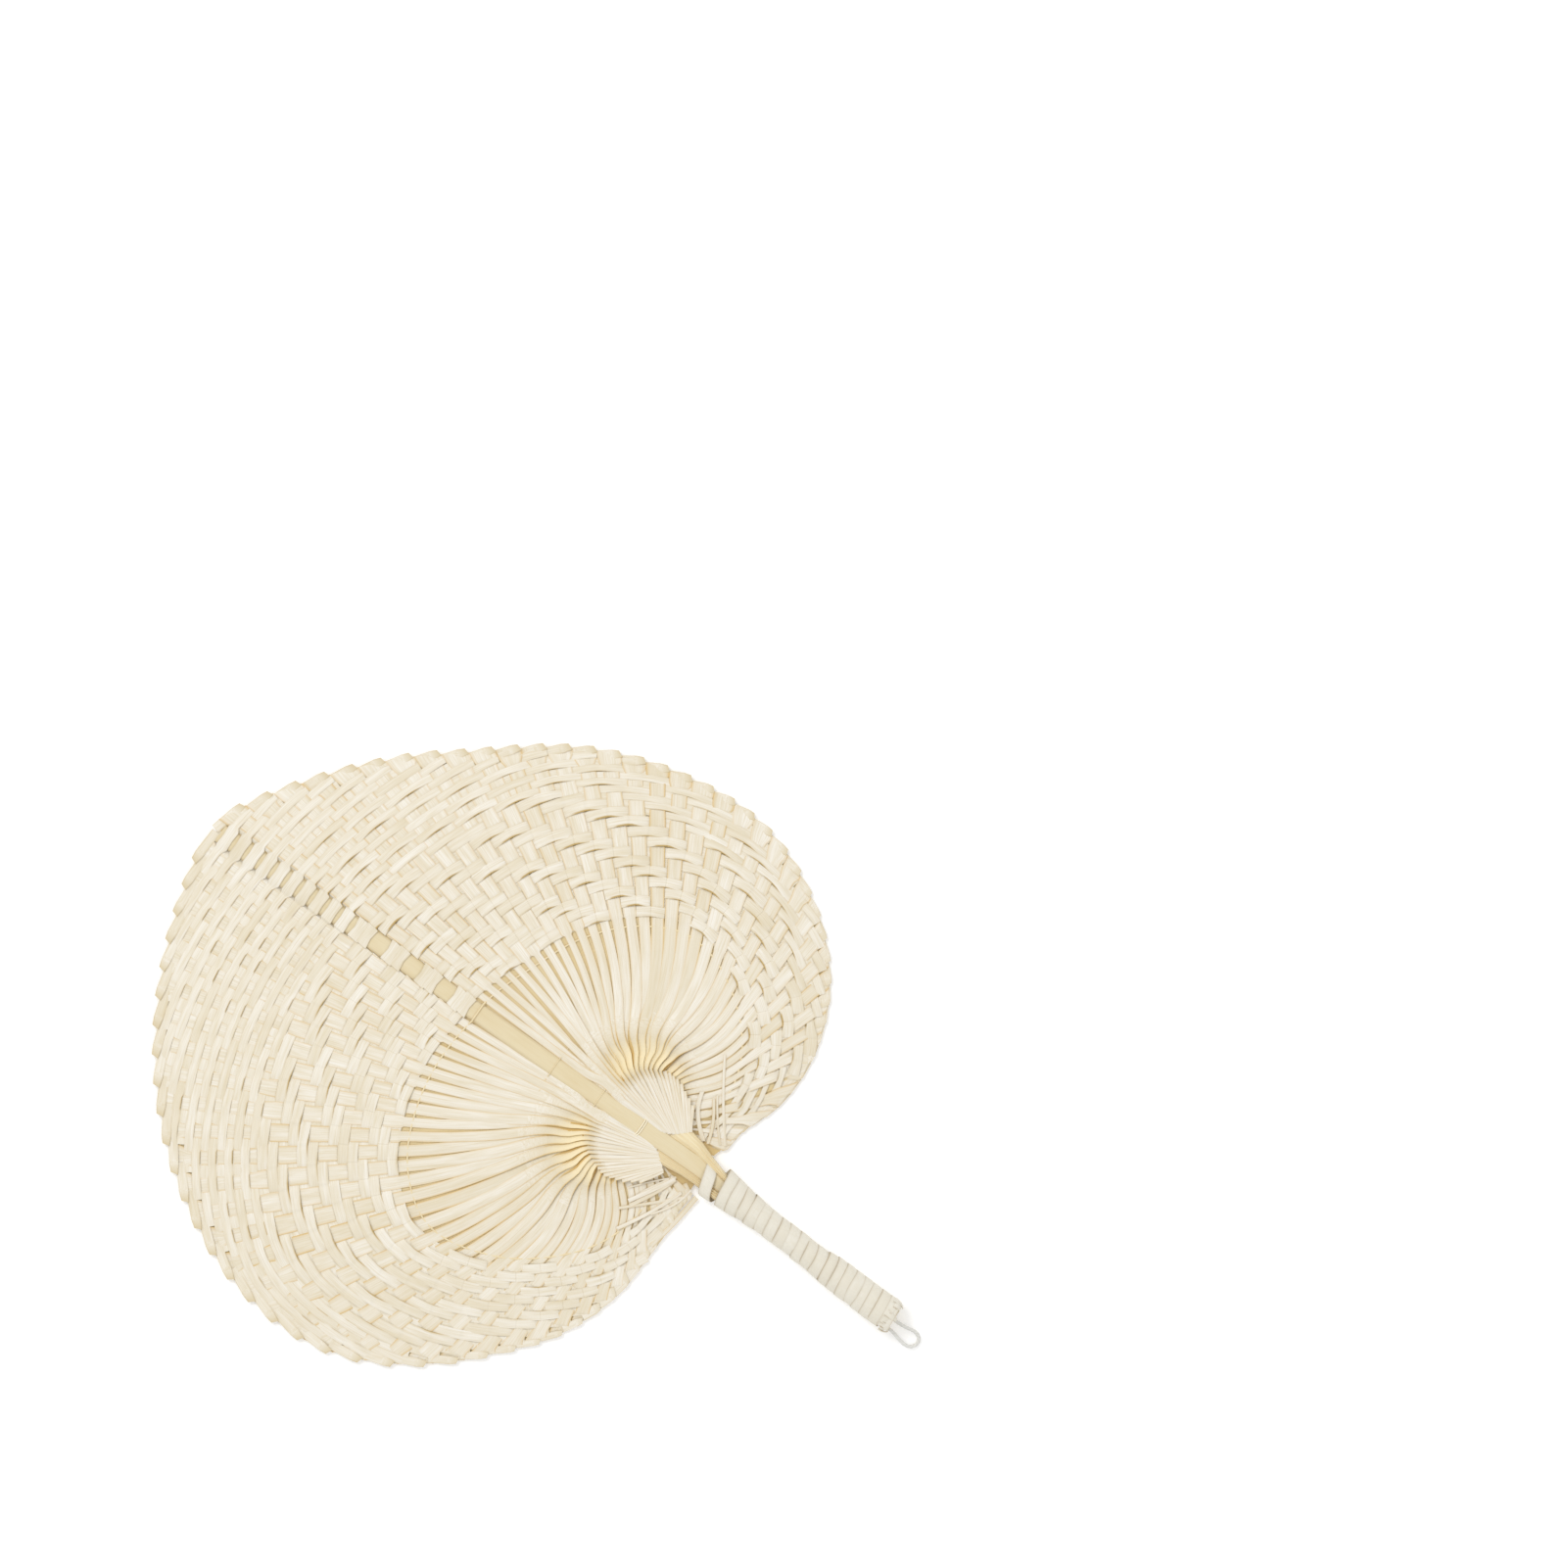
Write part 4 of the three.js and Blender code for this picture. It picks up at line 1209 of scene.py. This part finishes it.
class FAN_OT_threads(bpy.types.Operator):
    """Spacing threads between the strips, and the stitch across the splint."""

    bl_idname = "fan.threads"
    bl_label = "Threads"

    def execute(self, context):
        material = leaf_material(
            "spacing_thread", shade(242, 230, 196), shade(228, 202, 150), shade(214, 182, 124), 0.7,
            fibres=4.0)
        mesh = start_mesh()
        for thread in THREADS:
            closed_bar(mesh, thread_frames(leaf_halves(context), *thread), 4, 0.3, rounded(2))
        piece = finish_mesh(mesh, "spacing_threads", "fan", material, sharp=60.0)
        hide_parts("spacing_thread")
        material = leaf_material(
            "stitch_thread", shade(250, 242, 220), shade(240, 222, 178), shade(228, 200, 146), 0.7, fibres=4.0,
            edge_share=0.3)
        mesh = start_mesh()
        for y in STITCH_YS:
            closed_bar(mesh, stitch_frames(y), 4, 0.1, rounded(2))
        piece = finish_mesh(mesh, "stitch", "fan", material, sharp=60.0)
        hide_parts("splint_stitch")
        return {"FINISHED"}


# Teeth of the rim: angle to the rim in degrees, along the blade and at its lower sides, and largest width.
# Beside the grip they turn into an edging of this width and length.
TOOTH_ANGLES = 14.0, 9.0
TOOTH_WIDTH = 4.4
EDGING_WIDTH, EDGING_LENGTH = 7.5, 11.0
RIM_THICKNESS = 0.35


def rim_tooth(half, index, rng):
    """Frames and tones of the folded end of one strip, which lies along the rim."""
    heading = half.heading_of(index + 0.5)
    rim = half.rim_at(heading)
    pitch = rim * (half.heading_of(index + 1) - half.heading_of(index))
    calm = fade(heading, 70, 25)
    edging = fade(heading, 98, 25)
    swing = math.radians(lerp(*TOOTH_ANGLES, calm)) * half.side * (1 - 0.6 * edging)
    along = -half.rim_run(heading)
    run = along * math.cos(swing) + Vector((-along.y, along.x, 0)) * math.sin(swing)
    width = lerp(min(TOOTH_WIDTH, pitch * 0.5) * lerp(1, 0.75, calm), EDGING_WIDTH, edging)
    long = lerp(pitch * 1.35, EDGING_LENGTH, edging)
    inwards = half.outward(run) * -width / 2
    start = half.point(heading, rim) - run * pitch * 0.5 + inwards
    tone = rng.betavariate(1.6, 3.0)
    shift = rng.uniform(0, 4000)
    frames = []
    tones = []
    for number in range(9):
        share = number / 8
        lift = 0.7 - 0.75 * ease(share * 1.1) - 0.25 * calm * (1 - share) + rng.uniform(-0.04, 0.04)
        shear = run * (width / 2) * (1 - ease(share * 3)) * 0.4
        across = (inwards - shear) * lerp(0.72, 1, ease(share * 4))
        frames.append((start + run * long * share + UP * lift, across, UP * 0.12, shift + long * share))
        tones.append(lerp(lerp(1.4, 0.9, calm), tone, ease(share * 3.6)))
    return frames, tones


class FAN_OT_rim(bpy.types.Operator):
    """Folded strip ends that lie along the rim as a row of teeth."""

    bl_idname = "fan.rim"
    bl_label = "Rim"

    def execute(self, context):
        settings = context.scene.palm_fan
        for half in leaf_halves(context):
            rng = random.Random(half.name + " rim")
            mesh = start_mesh()
            for index in range(half.strips):
                frames, tones = rim_tooth(half, index, rng)
                ribbon(mesh, frames, 3, tones)
            material = leaf_material(
                half.name + "_rim_fold", settings.leaf_light, settings.leaf_tan, settings.leaf_edge, 0.52,
                edge_share=0.5, high_tone_colour=settings.leaf_edge)
            finish_mesh(mesh, half.name + "_rim", "fan", material, RIM_THICKNESS)
        return {"FINISHED"}


# The loop hangs from the butt down to this height over the table.
LOOP_LOWEST = 0.3
LOOP_DROOP = math.asin((BUTT_HEIGHT - CORD_RADIUS - LOOP_LOWEST) / LOOP_REACH)
CORD_TONE = 0.3
STRANDS = 3
CORD_LAY = 1.5


def cord_points():
    """Points of the pattern along the loop, on a smooth curve through its route."""
    knots = [Vector((x, LOOP_HINGE_Y - away * math.cos(LOOP_DROOP), BUTT_HEIGHT - away * math.sin(LOOP_DROOP)))
             for x, away in LOOP_ROUTE]
    points = []
    for before, start, end, after in zip(knots[:1] + knots, knots, knots[1:], knots[2:] + knots[-1:]):
        for part in range(4):
            t = part / 4
            bend = (2 * before - 5 * start + 4 * end - after) * t * t
            turn = (3 * start - before - 3 * end + after) * t ** 3
            points.append(0.5 * (2 * start + (end - before) * t + bend + turn))
    return points + knots[-1:]


def twisted_cord(mesh, points, lengths):
    """Cord of three twisted strands along the points, with round ends."""
    grain = mesh.verts.layers.float_vector["grain"]
    last = len(points) - 1
    upright = Vector((0, -math.sin(LOOP_DROOP), math.cos(LOOP_DROOP)))
    made = bmesh.ops.create_grid(mesh, x_segments=24, y_segments=last, size=0.5)
    for vert in made["verts"]:
        row = round((vert.co.y + 0.5) * last)
        angle = (vert.co.x + 0.5) * 2 * math.pi
        run = (points[min(row + 1, last)] - points[max(row - 1, 0)]).normalized()
        beside = run.cross(upright).normalized()
        twist = angle * STRANDS / 2 - lengths[row] * CORD_LAY
        reach = CORD_RADIUS * (0.82 + 0.18 * abs(math.cos(twist)))
        vert.co = placed(*(points[row] + (beside * math.cos(angle) + upright * math.sin(angle)) * reach))
        vert[grain] = (math.cos(twist), lengths[row] * MM, CORD_TONE)
    bmesh.ops.remove_doubles(mesh, verts=mesh.verts[:], dist=0.005 * MM)
    bmesh.ops.holes_fill(mesh, edges=[edge for edge in mesh.edges if edge.is_boundary], sides=0)
    for end in (points[0], points[-1]):
        ball = bmesh.ops.create_uvsphere(mesh, u_segments=16, v_segments=10, radius=0.94 * CORD_RADIUS * MM)
        for vert in ball["verts"]:
            vert.co += placed(*end)
            vert[grain] = (0.0, 0.0, CORD_TONE)


class FAN_OT_loop(bpy.types.Operator):
    """Twisted cord loop at the butt."""

    bl_idname = "fan.loop"
    bl_label = "Hanging loop"

    def execute(self, context):
        settings = context.scene.palm_fan
        points = cord_points()
        lengths = [0.0]
        for before, point in zip(points, points[1:]):
            lengths.append(lengths[-1] + (point - before).length)
        mesh = start_mesh()
        twisted_cord(mesh, points, lengths)
        # The edge colour, lighter than the body, falls on the crowns of the strands as a painted highlight.
        material = leaf_material(
            "white_cord", settings.cord, shade(214, 212, 204), shade(244, 243, 239), 0.85, fibres=5.0,
            bump=0.6)
        piece = finish_mesh(mesh, "cord_loop", "loop", material, sharp=60.0)
        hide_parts("hang_loop")
        return {"FINISHED"}


# The camera looks straight down from far above, so that the table fills this field.
CAMERA_PLACE = (0.1834, -0.0122, 6.0)
CAMERA_TURN = math.radians(-55.13)
CAMERA_FIELD = 0.743
CAMERA_RANGE = 20.0

# Area lamps: place, size and power
LAMPS = {"key": ((0.49, 1.89, 2.66), 1.4, 37.0), "fill": ((-0.2, -1.3, 2.2), 1.6, 7.5)}
SKY_STRENGTH = 0.71
TABLE_SIZE = 6.0
TABLE_HEIGHT = -0.0002


def place_camera(scene):
    lens = bpy.data.cameras.new("camera")
    lens.sensor_width = 36.0
    lens.lens = lens.sensor_width * CAMERA_PLACE[2] / CAMERA_FIELD
    lens.clip_end = CAMERA_RANGE
    camera = bpy.data.objects.new("camera", lens)
    camera.location = CAMERA_PLACE
    camera.rotation_euler.z = CAMERA_TURN
    scene.collection.objects.link(camera)
    scene.camera = camera


def place_table(scene):
    """White table that glows a little, so that it stays white under the fan."""
    mesh = bmesh.new()
    bmesh.ops.create_grid(mesh, x_segments=1, y_segments=1, size=TABLE_SIZE)
    data = bpy.data.meshes.new("table")
    mesh.to_mesh(data)
    mesh.free()
    paint = bpy.data.materials.new("table_white")
    paint.use_nodes = True
    inputs = paint.node_tree.nodes["Principled BSDF"].inputs
    inputs["Base Color"].default_value = (0.9, 0.9, 0.9, 1)
    inputs["Roughness"].default_value = 0.9
    inputs["Emission Color"].default_value = (1, 1, 1, 1)
    inputs["Emission Strength"].default_value = 0.2
    data.materials.append(paint)
    table = bpy.data.objects.new("table", data)
    table.location.z = TABLE_HEIGHT
    scene.collection.objects.link(table)


def light_scene(scene):
    """White sky and two soft lamps that face the fan."""
    scene.world = bpy.data.worlds.new("studio")
    scene.world.use_nodes = True
    sky = scene.world.node_tree.nodes["Background"]
    sky.inputs["Color"].default_value = (1, 1, 1, 1)
    sky.inputs["Strength"].default_value = SKY_STRENGTH
    for name, (place, size, power) in LAMPS.items():
        lamp = bpy.data.lights.new(name, "AREA")
        lamp.size = size
        lamp.energy = power
        light = bpy.data.objects.new(name, lamp)
        light.location = place
        light.rotation_euler = (-Vector(place)).to_track_quat("-Z", "Y").to_euler()
        scene.collection.objects.link(light)


class FAN_OT_stage(bpy.types.Operator):
    """Camera straight above, white table and soft light."""

    bl_idname = "fan.stage"
    bl_label = "Stage"

    def execute(self, context):
        context.scene.view_settings.view_transform = "Standard"
        place_camera(context.scene)
        place_table(context.scene)
        light_scene(context.scene)
        return {"FINISHED"}


OPERATORS = (FAN_OT_stage, FAN_OT_loop, FAN_OT_splint, FAN_OT_leaf_strips, FAN_OT_folded_hubs, FAN_OT_stalks,
             FAN_OT_wefts, FAN_OT_rim, FAN_OT_threads, FAN_OT_bindings)


class FAN_PT_panel(bpy.types.Panel):
    """Lists the fan's settings and pieces."""

    bl_idname = "FAN_PT_panel"
    bl_label = "Palm leaf fan"
    bl_space_type = "VIEW_3D"
    bl_region_type = "UI"
    bl_category = "Fan"

    def draw(self, context):
        for name in FanSettings.__annotations__:
            self.layout.prop(context.scene.palm_fan, name)
        for operator in OPERATORS:
            self.layout.operator(operator.bl_idname)


CLASSES = (FanSettings, *OPERATORS, FAN_PT_panel)


def register():
    for item in CLASSES:
        bpy.utils.register_class(item)
    bpy.types.Scene.palm_fan = PointerProperty(type=FanSettings)


def unregister():
    del bpy.types.Scene.palm_fan
    for item in reversed(CLASSES):
        bpy.utils.unregister_class(item)


def main():
    register()
    bpy.ops.fan.stage()
    bpy.ops.fan.loop()
    bpy.ops.fan.splint()
    bpy.ops.fan.leaf_strips()
    bpy.ops.fan.folded_hubs()
    bpy.ops.fan.stalks()
    bpy.ops.fan.wefts()
    bpy.ops.fan.rim()
    bpy.ops.fan.threads()
    bpy.ops.fan.bindings()


if __name__ == "__main__":
    main()
